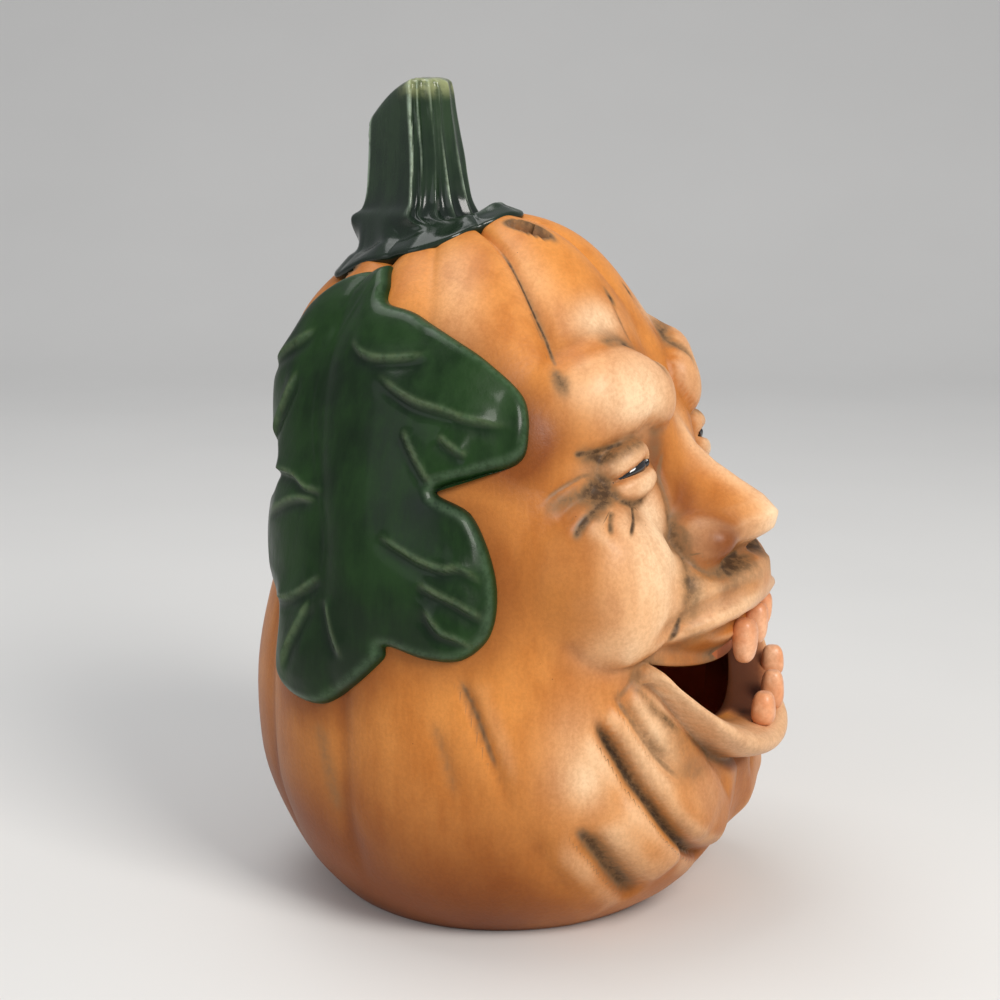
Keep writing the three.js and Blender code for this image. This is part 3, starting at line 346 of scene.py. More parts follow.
def with_lower_lip(height, a, z):
    """Half an ellipse rolls over the mouth's lower edge, 2 thick tall and 16 mm high, less at the
    corners. It is tucked in by 7 exp(-(u / 1.5)^1.5) at u below the edge, and a crease of 1.8 mm
    lies under it."""
    under = MOUTH_Z - mouth_drop(a) - z
    beside = 1 - smoothstep(a, MOUTH_REACH - 2, MOUTH_REACH + 12)
    thick = 5.8 - 3.2 * smoothstep(a, 10, MOUTH_REACH)
    lip = np.sqrt(np.clip(1 - ((under - thick * 0.9) / thick) ** 2, 0, 1))
    lip = (16 - 7.5 * smoothstep(a, 0, MOUTH_REACH)) * lip * beside - 20 * (1 - beside)
    corner = 1 - smoothstep(a, MOUTH_REACH - 6, MOUTH_REACH)
    tuck = 7.0 * bell(np.clip(under, 0, None), 1.5, 1.5) * corner
    crease_end = 1 - smoothstep(a, MOUTH_REACH - 8, MOUTH_REACH + 6)
    crease = 1.8 * bell(under - 1.9 * thick - 0.6, 2.6) * crease_end
    return np.where(under > -0.01, smooth_max(height, lip, 1.5) - tuck - crease, height)


def relief(across, z):
    """Ribs, swells and the muzzle's dome, then the face's parts, folds and wrinkles. The back draws
    in over the foot by 1.8 mm, and everything fades out at the foot's edge."""
    a = np.abs(across)
    ground = ribs(across, z) - waist(across, z)
    for row in GROUND_SWELLS:
        ground += swell(a, z, *row)
    height = smooth_max(ground, dome(a, z, (0, 95), (44, 18), 14.0), 3.0)
    height = smooth_max(height + brow(across, z), ground + cheek(a, z), 2.0)
    height = with_lids(with_nose(height, a, z), a, z)
    height = with_lower_lip(with_upper_lip(height, a, z), a, z)
    for row in FOLDS:
        height = height + fold(a, z, *row)
    for places, depth, width in WRINKLES:
        height = height - depth * mark(a, z, places, width, (0.15, 0.3))
    height = height - 1.8 * (1 - smoothstep(z, 12, 42)) * smoothstep(a, 95, 140)
    return height * smoothstep(z, -6, 8)


def hollow_relief(across, z):
    """Height of the hollow's skin: the wall's depth, the waist, and room behind the muzzle."""
    return swell(np.abs(across), z, (0, 82), (46, 30), 8.0) - waist(across, z) - WALL


# Meshes
def make_object(name, points, faces, material):
    """Smooth mesh object from points in millimetres and arrays of face indices."""
    mesh = bpy.data.meshes.new(name)
    corners = [face for group in faces for face in group.tolist()]
    mesh.from_pydata((np.asarray(points) * MM).tolist(), [], corners)
    mesh.validate()
    mesh.polygons.foreach_set("use_smooth", np.ones(len(mesh.polygons), bool))
    mesh.materials.append(material)
    made = bpy.data.objects.new(name, mesh)
    bpy.context.scene.collection.objects.link(made)
    return made


def make_piece(name, points, faces, material, body, node, slot, values=None):
    """Object that rides on a body in place of a CAD node, with values at its points for its finish."""
    piece = make_object(name, points, faces, material)
    for key, value in (values or {}).items():
        attribute = piece.data.attributes.new(key, "FLOAT", "POINT")
        attribute.data.foreach_set("value", np.asarray(value, np.float32).ravel())
    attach(piece, body)
    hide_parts(node)


def after(ring):
    """Each entry's next neighbour round its ring."""
    return np.roll(ring, -1, -1)


def bands(rings):
    """Quads between neighbouring rows of a closed-ring index grid; up the rows is up the piece."""
    low, high = rings[:-1], rings[1:]
    return np.stack([after(low), low, high, after(high)], -1).reshape(-1, 4)


def fan(ring, tip, upwards=True):
    """Triangles from a closed ring to one point."""
    first, second = (after(ring), ring) if upwards else (ring, after(ring))
    return np.stack([first, second, np.full(len(ring), tip)], -1)


def closed(rings, first, last):
    """Points and faces of a body of rings, a grid of points, closed by a point at each end. The
    faces are turned round where the body's signed volume says that they look inwards."""
    points = np.vstack([rings.reshape(-1, 3), [first], [last]])
    index = np.arange(rings.shape[0] * rings.shape[1]).reshape(rings.shape[:2])
    faces = [bands(index), fan(index[-1], len(points) - 1), fan(index[0], len(points) - 2, False)]
    p = points - points.mean(0)
    volume = sum(np.einsum("ij,ij->", np.cross(p[group[:, 0]], p[group[:, k]]), p[group[:, k + 1]])
                 for group in faces for k in range(1, group.shape[1] - 1))
    return points, faces if volume > 0 else [group[:, ::-1] for group in faces]


def turns(count):
    """Angles of count columns round a full turn."""
    return np.arange(count) * 2 * math.pi / count


def blurred(grid, times):
    """The grid averaged (1, 2, 1) / 4 with its neighbours both ways, times over."""
    for _ in range(times):
        grid = (np.roll(grid, 1, 1) + 2 * grid + np.roll(grid, -1, 1)) / 4
        grid = (np.vstack([grid[:1], grid[:-1]]) + 2 * grid + np.vstack([grid[1:], grid[-1:]])) / 4
    return grid


def body_rows(count):
    """Heights and radii of the rows from the foot to the crown, and the number of the row that lies
    at MOUTH_Z. The rows are closer together over the folds, the cheeks and the eyes."""
    turn = np.linspace(0, np.pi / 2, 400)
    low = np.linspace(0, BELLY_HEIGHT, 200, endpoint=False)
    z = np.concatenate([low, BELLY_HEIGHT + CROWN_RISE * np.sin(turn) ** (2 / CROWN_POWER)])
    r = np.concatenate([profile(low), BELLY_RADIUS * np.cos(turn) ** (2 / CROWN_POWER)])
    mid = (z[1:] + z[:-1]) / 2
    weight = 0.8 + 0.9 * bell(mid - 42, 17) + 1.2 * bell(mid - 84, 24) + 1.4 * bell(mid - 122, 20)
    weight = weight * (0.35 + 0.65 * smoothstep((r[1:] + r[:-1]) / 2, 5, 22))
    run = np.concatenate([[0], np.cumsum(np.hypot(np.diff(z), np.diff(r)) * weight)])
    at = np.linspace(0, run[-1], count)
    z, r = np.interp(at, run, z), np.interp(at, run, r)
    mouth = int(np.argmin(np.abs(z - MOUTH_Z)))
    return z + (MOUTH_Z - z[mouth]) * bell(z - MOUTH_Z, 10), r, mouth


# The leaf's outline on the skin, shared by the leaf and the shading round it
LEAF_MIDDLE = np.array([127.0, 124.0])
LEAF_EDGE = LEAF_MIDDLE + np.array([
    (0, 66), (-6, 61), (-9, 56), (-25, 52), (-42, 43), (-52, 36), (-60, 27), (-59, 17), (-55, 11), (-43, 9),
    (-30, 6), (-40, -1), (-45, -17), (-43, -31), (-35, -38), (-25, -38), (-14, -35), (-12, -39),
    (0, -49), (12, -55), (28, -49), (30, -29), (42, -22), (50, -6), (46, 8), (40, 12), (50, 24),
    (52, 38), (42, 50), (36, 58), (24, 64), (10, 66.5), (0, 66)], float)
LEAF_LINE = curve(LEAF_EDGE, 8)


# Finishes
def srgb(red, green, blue):
    """Linear colour of an sRGB colour given in 0..255."""
    c = np.array([red, green, blue]) / 255
    linear = np.where(c <= 0.04045, c / 12.92, ((c + 0.055) / 1.055) ** 2.4)
    return (*linear.tolist(), 1.0)


class Finish:
    """A node tree with short calls: each call adds one node and gives back its output."""

    def __init__(self, name, roughness, **sockets):
        self.material = bpy.data.materials.new(name)
        self.material.use_nodes = True
        self.tree = self.material.node_tree
        self.shader = self.tree.nodes["Principled BSDF"]
        self.shader.inputs["Roughness"].default_value = roughness
        for key, value in sockets.items():
            self.shader.inputs[key.replace("_", " ")].default_value = value
        self.place = self.node("ShaderNodeTexCoord").outputs["Object"]

    def node(self, kind, inputs=None, **settings):
        made = self.tree.nodes.new(kind)
        for key, value in settings.items():
            setattr(made, key, value)
        for key, value in (inputs or {}).items():
            if isinstance(value, bpy.types.NodeSocket):
                self.tree.links.new(value, made.inputs[key])
            else:
                made.inputs[key].default_value = value
        return made

    def value(self, name):
        return self.node("ShaderNodeAttribute", attribute_name=name).outputs["Fac"]

    def stretched(self, scale):
        return self.node("ShaderNodeMapping", {"Vector": self.place, "Scale": scale}).outputs[0]

    def noise(self, scale, detail=3.0, rough=0.55, vector=None):
        inputs = {"Vector": vector or self.place, "Scale": scale, "Detail": detail, "Roughness": rough}
        return self.node("ShaderNodeTexNoise", inputs).outputs["Fac"]

    def spots(self, scale):
        inputs = {"Vector": self.place, "Scale": scale}
        return self.node("ShaderNodeTexVoronoi", inputs).outputs["Distance"]

    def remap(self, value, low, high, to_low=0.0, to_high=1.0):
        inputs = {"Value": value, "From Min": low, "From Max": high, "To Min": to_low, "To Max": to_high}
        return self.node("ShaderNodeMapRange", inputs, interpolation_type="SMOOTHSTEP").outputs["Result"]

    def math(self, operation, a, b=0.0):
        """One step of arithmetic, held to 0..1."""
        return self.node("ShaderNodeMath", {0: a, 1: b}, operation=operation, use_clamp=True).outputs[0]

    def times(self, a, b):
        return self.math("MULTIPLY", a, b)

    def blend(self, a, b, share):
        """a (1 - share) + b share of two values."""
        return self.math("ADD", self.times(a, 1 - share), self.times(b, share))

    def grey(self, value):
        return self.node("ShaderNodeCombineColor", {"Red": value, "Green": value, "Blue": value}).outputs[0]

    def mix(self, share, a, b, blend="MIX"):
        inputs = {0: share, 6: a, 7: b}
        return self.node("ShaderNodeMix", inputs, data_type="RGBA", blend_type=blend).outputs[2]

    def bump(self, height, distance, strength, normal=None):
        inputs = {"Height": height, "Distance": distance, "Strength": strength}
        if normal:
            inputs["Normal"] = normal
        return self.node("ShaderNodeBump", inputs).outputs[0]

    def set(self, socket, value):
        self.tree.links.new(value, self.shader.inputs[socket])


def painted_clay():
    """Orange paint in clouds and strokes, deeper in the recesses, and deeper towards the foot and round
    the back, partly as painted shade; pale dry brushing where the clay stands proud, with painted
    highlights on the brow, cheeks, nose and crown; an olive brown wash with dark lines in the creases,
    which also paints shadow under the brow and the nose and shade round the vents; flecks; and bare
    clay inside and on the lip's rim behind the mouth, darkened with painted shade. A line is full
    where its signed distance is 0 and gone where that is 1."""
    orange, light_orange, deep_orange = srgb(188, 112, 42), srgb(216, 140, 66), srgb(118, 56, 12)
    cream, thin_wash_and_shade, thick_wash_and_shade = srgb(250, 214, 172), srgb(128, 98, 66), srgb(60, 42, 27)
    clay_dark, clay_light, inner_shade = srgb(212, 112, 62), srgb(236, 142, 88), srgb(48, 26, 16)
    f = Finish("painted_clay", 0.42, Coat_Weight=0.04, Coat_Roughness=0.25, Specular_IOR_Level=0.22)
    wash_and_shade, inside = f.value("wash_and_shade"), f.value("inside")
    grain = f.noise(850, 3, 0.7)
    strokes = f.noise(110, 4, 0.65, f.stretched((1.0, 1.0, 0.25)))
    cloud = f.remap(f.blend(f.noise(26, 3, 0.6), strokes, 0.4), 0.38, 0.62)
    base = f.mix(cloud, orange, light_orange)
    # Deep tone, partly painted shade towards the foot and round the back.
    base = f.mix(f.times(f.value("deep"), 0.9), base, deep_orange)
    # Pale dry brushing, with painted highlights on the brow, cheeks, nose and crown.
    broken = f.times(f.value("pale"), f.remap(f.blend(strokes, grain, 0.3), 0.34, 0.6, 0.7, 1.0))
    base = f.mix(broken, base, cream)
    base = f.mix(0.8, base, f.grey(f.remap(grain, 0.35, 0.65, 0.93, 1.05)), "MULTIPLY")
    line = f.remap(f.math("ABSOLUTE", f.value("line")), 0.05, 1.0, 1.0, 0.0)
    patchy = f.remap(f.noise(420, 4, 0.7), 0.36, 0.6, 0.75, 1.0)
    # Wash and its lines in two colours; they also paint shadow under the brow and the nose and shade round
    # the vents.
    stain_and_shade = f.times(f.math("MAXIMUM", wash_and_shade, f.times(line, f.value("ink"))), patchy)
    base = f.mix(f.remap(stain_and_shade, 0.03, 0.75, 0.0, 0.92), base, thin_wash_and_shade)
    base = f.mix(f.remap(stain_and_shade, 0.55, 1.0, 0.0, 0.85), base, thick_wash_and_shade)
    flecks = f.times(f.remap(f.spots(230), 0.02, 0.05, 0.8, 0.0), f.remap(f.noise(60, 1), 0.6, 0.66))
    base = f.mix(flecks, base, srgb(84, 46, 24))
    # Bare clay inside and on the lip's rim behind the mouth, darkened with painted shade.
    clay = f.mix(f.noise(90, 3), clay_dark, clay_light)
    clay = f.mix(f.times(wash_and_shade, 0.9), clay, inner_shade)
    f.set("Base Color", f.mix(inside, base, clay))
    f.set("Roughness", f.remap(f.math("ADD", wash_and_shade, inside), 0.0, 1.0, 0.40, 0.66))
    f.set("Normal", f.bump(strokes, 0.0003, 0.45, f.bump(grain, 0.0002, 0.45)))
    return f.material


def glazed_green(name, dark, light, edge, roughness, gloss):
    """Green glaze with a soft gloss: painted shade where the piece is hollow, pale along rims and ridges
    as thinner glaze and a painted highlight, rubbed to a yellow green at the top, with a painted
    highlight of that colour on crests, and a brushed, slightly wavy skin."""
    f = Finish(name, roughness, Coat_Weight=gloss, Coat_Roughness=0.12, Specular_IOR_Level=0.16)
    brushed = f.noise(140, 4, 0.65, f.stretched((1.0, 1.0, 0.22)))
    base = f.mix(f.remap(f.blend(f.noise(34, 4, 0.6), brushed, 0.4), 0.36, 0.64), dark, light)
    base = f.mix(f.times(f.value("shade"), 0.85), base, srgb(14, 24, 20))
    # Rims and ridges: thinner glaze and a painted highlight.
    base = f.mix(f.times(f.value("ridge"), f.remap(f.noise(500, 3, 0.7), 0.3, 0.6, 0.4, 1.0)), base, edge)
    # Rubbed to a yellow green at the top, and the same colour as a painted highlight on crests.
    worn_and_highlit = f.times(f.value("wear"), f.remap(f.noise(320, 3), 0.35, 0.6, 0.3, 1.0))
    f.set("Base Color", f.mix(worn_and_highlit, base, srgb(160, 166, 118)))
    f.set("Roughness", f.remap(brushed, 0.3, 0.7, roughness * 0.8, roughness * 1.35))
    wavy = f.bump(f.noise(46, 2, 0.5), 0.0022, 0.5)
    f.set("Normal", f.bump(f.blend(brushed, f.noise(620, 2), 0.3), 0.00035, 0.4, wavy))
    return f.material


def plain_clay(name, low, high, roughness):
    """One glaze with soft clouds and a fine grain."""
    f = Finish(name, roughness, Coat_Weight=0.25, Coat_Roughness=0.2)
    base = f.mix(f.remap(f.noise(90, 3), 0.3, 0.7), low, high)
    f.set("Base Color", f.mix(f.remap(f.noise(800, 2), 0.3, 0.7, 0.0, 0.25), base, low))
    f.set("Normal", f.bump(f.noise(700, 2), 0.0002, 0.4))
    return f.material


def tooth_paint():
    """Pale orange paint, darker towards the tooth's root, with the same grain as the skin."""
    f = Finish("tooth_paint", 0.4, Coat_Weight=0.2, Coat_Roughness=0.25)
    grain = f.noise(900, 2, 0.7)
    base = f.mix(f.remap(f.noise(160, 3), 0.3, 0.7), srgb(232, 158, 108), srgb(246, 188, 144))
    base = f.mix(f.times(f.value("root"), 0.5), base, srgb(190, 112, 62))
    f.set("Base Color", f.mix(f.remap(grain, 0.35, 0.65, 0.0, 0.25), base, srgb(190, 116, 66)))
    f.set("Normal", f.bump(grain, 0.0002, 0.5))
    return f.material


def black_glaze():
    """Black glaze with a wet gloss and a faint brown cloud."""
    f = Finish("black_glaze", 0.06, Coat_Weight=1.0, Coat_Roughness=0.03)
    f.set("Base Color", f.mix(f.noise(300, 2), srgb(10, 9, 10), srgb(26, 20, 18)))
    return f.material


def thin_metal():
    """Drawn aluminium sheet: fine rings of wear round it and small dents."""
    f = Finish("thin_metal", 0.3, Metallic=1.0)
    f.set("Base Color", f.mix(f.noise(200, 2), srgb(196, 198, 202), srgb(222, 224, 228)))
    f.set("Roughness", f.remap(f.noise(60, 3, 0.6, f.stretched((1, 1, 14))), 0.3, 0.7, 0.2, 0.42))
    f.set("Normal", f.bump(f.noise(240, 2), 0.0003, 0.4))
    return f.material


def candle_wax():
    """Paraffin: cream white, light passing a little way in, cloudy with a soft skin."""
    f = Finish("candle_wax", 0.38, Subsurface_Weight=0.25, Subsurface_Scale=0.004)
    f.shader.inputs["Subsurface Radius"].default_value = (1.0, 0.7, 0.45)
    f.set("Base Color", f.mix(f.remap(f.noise(260, 3), 0.3, 0.7), srgb(236, 228, 208), srgb(247, 243, 230)))
    f.set("Normal", f.bump(f.noise(180, 2), 0.0003, 0.3))
    return f.material


def cotton_braid():
    """Waxed cotton: ochre white, lighter and higher along the braid's strands."""
    f = Finish("cotton_braid", 0.8)
    strand = f.value("strand")
    f.set("Base Color", f.mix(strand, srgb(196, 178, 142), srgb(236, 226, 202)))
    f.set("Normal", f.bump(strand, 0.0002, 0.8))
    return f.material


# The pumpkin: columns and rows of its skin, rows of the inner skin below CROWN_Z, vents in plan
COLUMNS, ROWS, LOW_ROWS, CROWN_Z = 368, 192, 34, 172.0
VENTS = [(-10.0, -13.0), (-22.75, 42.75)]
VENT_SIZE = np.array([3.0, 7.0])


def column_places(count, gather):
    """across = FACE_RADIUS (pi u - gather sin(pi u)), u from -1 to 1: columns gather at the face."""
    u = np.arange(count) * 2.0 / count - 1
    return FACE_RADIUS * (math.pi * u - gather * np.sin(math.pi * u))


def skin(z0, r0, mouth, across, height_at):
    """Rows of points of one skin; the row at the mouth comes twice, as upper and as lower edge."""
    s, z = np.meshgrid(across, z0)
    a = np.abs(s)
    warped = np.where(np.arange(len(z0))[:, None] < mouth, sag(a, z), dip(a, z))
    r = np.where(warped < 130, profile(np.clip(warped, 0, None)), r0[:, None])
    height = height_at(s, warped) * smoothstep(r, *CROWN_FADE)
    edge_z = sag(a[mouth], z[mouth])
    edge_height = height_at(s[mouth], edge_z)
    edge = place(s[mouth], edge_z, edge_height)
    return place(s, warped, height, r), edge, height, edge_height, warped, edge_z


def vent_reach(points, vent):
    """hypot(x / 3, y / 7) from a vent's middle in plan, which is 1 on its rim."""
    return np.hypot(*np.moveaxis((points[..., :2] - vent) / VENT_SIZE, -1, 0))


def vent_cells(points):
    """Which cells of the crown's rows lie in a vent, and the points with the vents' rims drawn onto
    their ellipses, x^2 / 3^2 + y^2 / 7^2 = 1 in plan."""
    centre = (points[:-1] + points[1:]) / 2
    centre = (centre + np.roll(centre, -1, 1)) / 2
    gone = np.zeros(centre.shape[:2], bool)
    moved = points.copy()
    for vent in VENTS:
        inside = vent_reach(centre, vent) < 1
        gone |= inside
        touched = np.zeros(points.shape[:2], int)
        for down in (0, 1):
            for right in (0, 1):
                touched[down:len(inside) + down] += np.roll(inside, right, 1)
        rim = ((touched > 0) & (touched < 4))[..., None]
        on_rim = vent + (points[..., :2] - vent) / vent_reach(points, vent)[..., None]
        moved[..., :2] = np.where(rim, on_rim, moved[..., :2])
    return gone, moved


def vent_walls(gone, outer, inner):
    """Quads from the outer skin's to the inner skin's rim of each vent, side by side."""
    kept = ~np.pad(gone, ((1, 1), (0, 0)))
    low, high = slice(0, -1), slice(1, None)
    next_outer, next_inner = after(outer), after(inner)
    sides = [
        (kept[2:], (outer[high], next_outer[high], next_inner[high], inner[high])),
        (kept[:-2], (next_outer[low], outer[low], inner[low], next_inner[low])),
        (~np.roll(gone, 1, 1), (outer[low], outer[high], inner[high], inner[low])),
        (~after(gone), (next_outer[high], next_outer[low], next_inner[low], next_inner[high])),
    ]
    return np.vstack([np.stack(quad, -1)[gone & open_side] for open_side, quad in sides])


def zones(a, z, rows):
    """Sum of swells (centre, size, strength), held to 0..1."""
    return np.clip(sum(swell(a, z, *row) for row in rows), 0, 1)


# soft patches of pale brush, partly painted highlight, and of deep tone: centre, size, strength
PALE_ZONES = [
    ((31, 144.5), (13, 7), 0.85), ((50, 147), (10, 6), 0.1), ((41, 104), (11, 17), 0.85),
    ((31, 114), (6, 13), 0.85), ((18, 91), (18, 5), 0.4), ((0, 124), (5, 18), 0.6),
    ((0, 108), (9, 5), 0.5), ((27, 166), (12, 5), 0.9), ((46, 180), (10, 10), 0.25),
    ((44, 131), (8, 3), 0.4), ((40, 62), (7, 13), 0.8), ((62, 58), (9, 14), 0.4),
    ((24, 44), (9, 10), 0.25), ((52, 86), (9, 6), 0.4), ((50, 38), (7, 8), 0.25),
    ((84, 180), (12, 12), 0.3), ((20, 66), (10, 4), 0.35), ((60, 52), (5, 6), 0.5),
]
DEEP_ZONES = [
    ((74, 108), (11, 26), 0.3), ((17, 119), (8, 14), 0.6), ((19, 105.5), (9, 6.5), 0.9),
    ((68, 138), (14, 12), 0.5), ((60, 98), (9, 14), 0.4), ((0, 146), (10, 8), 0.4),
    ((26, 84), (14, 2.5), 0.3), ((20, 53), (16, 5), 0.35), ((10, 36), (16, 14), 0.25),
    ((21, 133), (4, 8), 0.5), ((58, 118), (8, 8), 0.4), ((58, 139), (9, 6), 0.3),
    ((20, 91.5), (12, 2.0), 0.5),
]
# soft patches of wash; soft smears and crisp lines of it: places, width, strength. A few are
# painted shadow under the brow and the nose.
WASH_AND_SHADE_ZONES = [
    # (13, 99) is painted shadow under the nose.
    ((47, 126.3), (5, 3.5), 0.7), ((13, 99), (12, 1.8), 0.9), ((17, 95), (7, 2.6), 0.5),
    ((5, 95.5), (8, 3.0), 0.35), ((20, 133), (4, 5), 0.5), ((54.6, 152.7), (2.6, 4), 0.95),
    ((12, 171), (1.8, 2.4), 1.0), ((29, 92), (4, 8), 0.45), ((27, 50), (9, 4), 0.4),
    ((41, 117.5), (4, 3), 0.45), ((41, 79), (5, 3), 0.4), ((24, 84), (10, 2.0), 0.35),
    ((33, 60), (8, 9), 0.35), ((12, 77), (6, 3), 0.55), ((37, 73), (4, 5), 0.3),
    ((22, 58), (9, 3), 0.35),
]
WASH_AND_SHADE_SMEARS = [
    ([(38, 159.2), (29, 159.6), (20, 157.5), (15.5, 151), (14, 143)], 2.3, 0.75),
    # painted shadow under the brow
    ([(57, 135), (50, 134.4), (43, 133), (34, 134.5), (24, 136)], 2.2, 0.75),
    ([(42, 127), (50, 125.4), (57, 124.6), (63, 123.6), (70, 120.5)], 2.8, 0.7),
    ([(45, 124.5), (50, 121.5), (56, 117.5)], 2.4, 0.7),
    ([(46, 125.5), (42, 121.6), (36, 120.4), (29, 122.8)], 1.3, 0.7),
    ([(20, 130), (22.5, 122), (25, 112), (27.5, 104), (30.5, 95.6), (32.6, 88)], 2.4, 0.55),
    ([(57, 69), (49, 57), (43, 46), (34, 34), (23, 25)], 3.4, 0.4),
    ([(62, 40), (56, 32), (48, 22), (38, 12)], 3.8, 0.6), ([(47, 78), (40, 68), (30, 60.5)], 1.8, 0.6),
    ([(93.6, 82), (89, 71), (85.6, 61)], 2.2, 0.4), ([(50, 74), (43, 62), (36, 53)], 1.8, 0.45),
    (SIDE_DENT, 2.4, 0.35), ([(139.2, 66.3), (135.3, 49.8), (131.4, 32.2)], 3.0, 0.5),
    ([(52, 188), (52, 172), (54, 160)], 2.0, 0.45),
]
WASH_AND_SHADE_LINES = [
    # OVER_EYE here is painted shadow under the brow.
    (OVER_EYE, 0.9, 0.95), (CROW_FOOT, 0.8, 0.6), (UNDER_EYE, 1.2, 0.95), (UNDER_EYE_SHORT, 0.8, 0.8),
    (UNDER_LID, 0.6, 1.0), ([(46, 124), (42, 120.9), (36, 119.8), (31, 121.5)], 0.6, 0.7),
    ([(15, 133), (20.8, 126), (22.6, 118), (24.6, 110), (27, 102), (29.5, 95.6)], 0.9, 0.65),
    ([(31, 91), (33.2, 87), (35.5, 84.5)], 0.8, 1.0),
    # painted shadow under the nose, along the nostrils
    ([(2, 100.6), (8, 100), (14, 98.6), (20, 98.6)], 1.7, 1.0),
    ([(19, 98.2), (24.5, 101.4), (27, 107)], 0.9, 0.7),
    ([(58.5, 70), (50, 56), (44, 45.5), (35, 33), (24, 24), (10, 18)], 1.6, 0.95),
    ([(52, 75), (45, 63), (38.5, 54), (31, 46)], 1.0, 0.6), (OUTER_FOLD, 1.9, 0.8),
    ([(93.6, 82), (89, 71), (85.6, 61), (83, 54)], 0.9, 0.65),
    ([(50.5, 192), (52, 178), (52, 164), (54.7, 153)], 0.9, 1.0), (MOUTH_CORNER, 0.8, 0.5),
    (FOREHEAD_DENT, 0.7, 0.55),
]


def painted_line(a, z):
    """Signed distance to the nearest line of wash over 1.7 of its widths, and that line's strength,
    which ends 1 mm past the line's edge. Farther out the distance is 3, so beside a line it passes
    through 0 on its negative side, which can show as a row of fine dots."""
    line, ink = np.full(np.shape(a), 3.0), np.zeros(np.shape(a))
    for places, width, dark in WASH_AND_SHADE_LINES:
        distance, share, side = near(a, z, curve(places))
        edge = 1.7 * width
        strength = dark * faded(share, (0.15, 0.25)) * (1 - smoothstep(distance - edge, 0.1, 1.0))
        closer = (distance / edge < np.abs(line)) & (strength > 0)
        line, ink = np.where(closer, side * distance / edge, line), np.where(closer, strength, ink)
    return line, ink


def skin_paint(across, z, height):
    """Shares of deep tone, pale brush and dark wash, and the lines. The deep tone is partly painted shade
    towards the foot and round the back, the pale brush partly painted highlight, the wash also painted
    shade on the lip's rim behind the mouth, and some lines painted shadow under the brow and the nose.
    The wash follows the height's shortfall against its own average; the brush follows its excess."""
    a = np.abs(across)
    fine = height - blurred(height, 14)
    broad = height - blurred(height, 90)
    under = MOUTH_Z - mouth_drop(a) - z
    beside = 1 - smoothstep(a, MOUTH_REACH - 6, MOUTH_REACH + 4)
    on_lip = smoothstep(under, 0, 2) * (1 - smoothstep(under, 8, 11)) * beside
    # The lip's rim behind the mouth, on the far side, gets painted shade: bare clay darkened like the
    # inside.
    far_side = smoothstep(-across, -3, 5) * beside
    rim_shade_behind_lip = (1 - smoothstep(under, 0.8, 3.0)) * (under > -0.02) * far_side
    foot_of_lip = 11.6 - 6.0 * smoothstep(a, 10, MOUTH_REACH)
    below_lip = 0.3 * bell(under - foot_of_lip - 0.6, 2.0) * (1 - smoothstep(a, 16, 30))

    hollows = 0.2 * smoothstep(-fine, 0.3, 1.2) + 0.1 * smoothstep(-broad, 1.0, 3.5)
    hollows = hollows * (1 - 0.45 * smoothstep(a, 80, 110))
    smears = sum(dark * mark(a, z, places, width, (0.2, 0.3), 1.6) for places, width, dark in WASH_AND_SHADE_SMEARS)
    wash_and_shade = np.clip(hollows + smears + zones(a, z, WASH_AND_SHADE_ZONES), 0, 1)
    wash_and_shade = np.clip(wash_and_shade * (1 - 0.9 * on_lip) + below_lip + rim_shade_behind_lip, 0, 1)

    proud = 0.3 * smoothstep(fine, 0.15, 0.8) * (1 - smoothstep(a, 70, 95))
    pale = zones(a, z, PALE_ZONES) * (1 - 0.6 * wash_and_shade) + proud
    off_wing = 1 - 0.9 * swell(a, z, (19, 105.5), (9, 7), 1.0)
    pale = np.clip(pale * off_wing * (1 - 0.5 * on_lip) + 0.4 * on_lip, 0, 1)

    round_leaf = 0.6 * bell(near(across, z, LEAF_LINE)[0], 7.5) * (1 - smoothstep(z, 165, 182))
    # Deeper towards the foot and round the back: partly the paint's tone, partly painted shade where the
    # light falls off.
    foot = (1 - smoothstep(z, 6, 76)) * (0.3 + 0.7 * smoothstep(a, 45, 90))
    deep = zones(a, z, DEEP_ZONES) + round_leaf + foot
    deep = np.clip(deep + 0.35 * smoothstep(a, 100, 170) + 0.3 * smoothstep(-broad, 0.3, 2.0), 0, 1)
    line, ink = painted_line(a, z)
    return {"deep": deep, "pale": pale, "wash_and_shade": wash_and_shade, "line": line, "ink": ink, "inside": rim_shade_behind_lip}


def shade_round_vents(points, fade):
    """Painted shade round the vents: exp(-((reach - 1) / fade)^2) outside the nearer vent's rim, on
    the crown only.
    """
    reach = np.minimum(*(vent_reach(points, vent) for vent in VENTS))
    return bell(np.clip(reach - 1, 0, None), fade) * (points[..., 2] > 150)


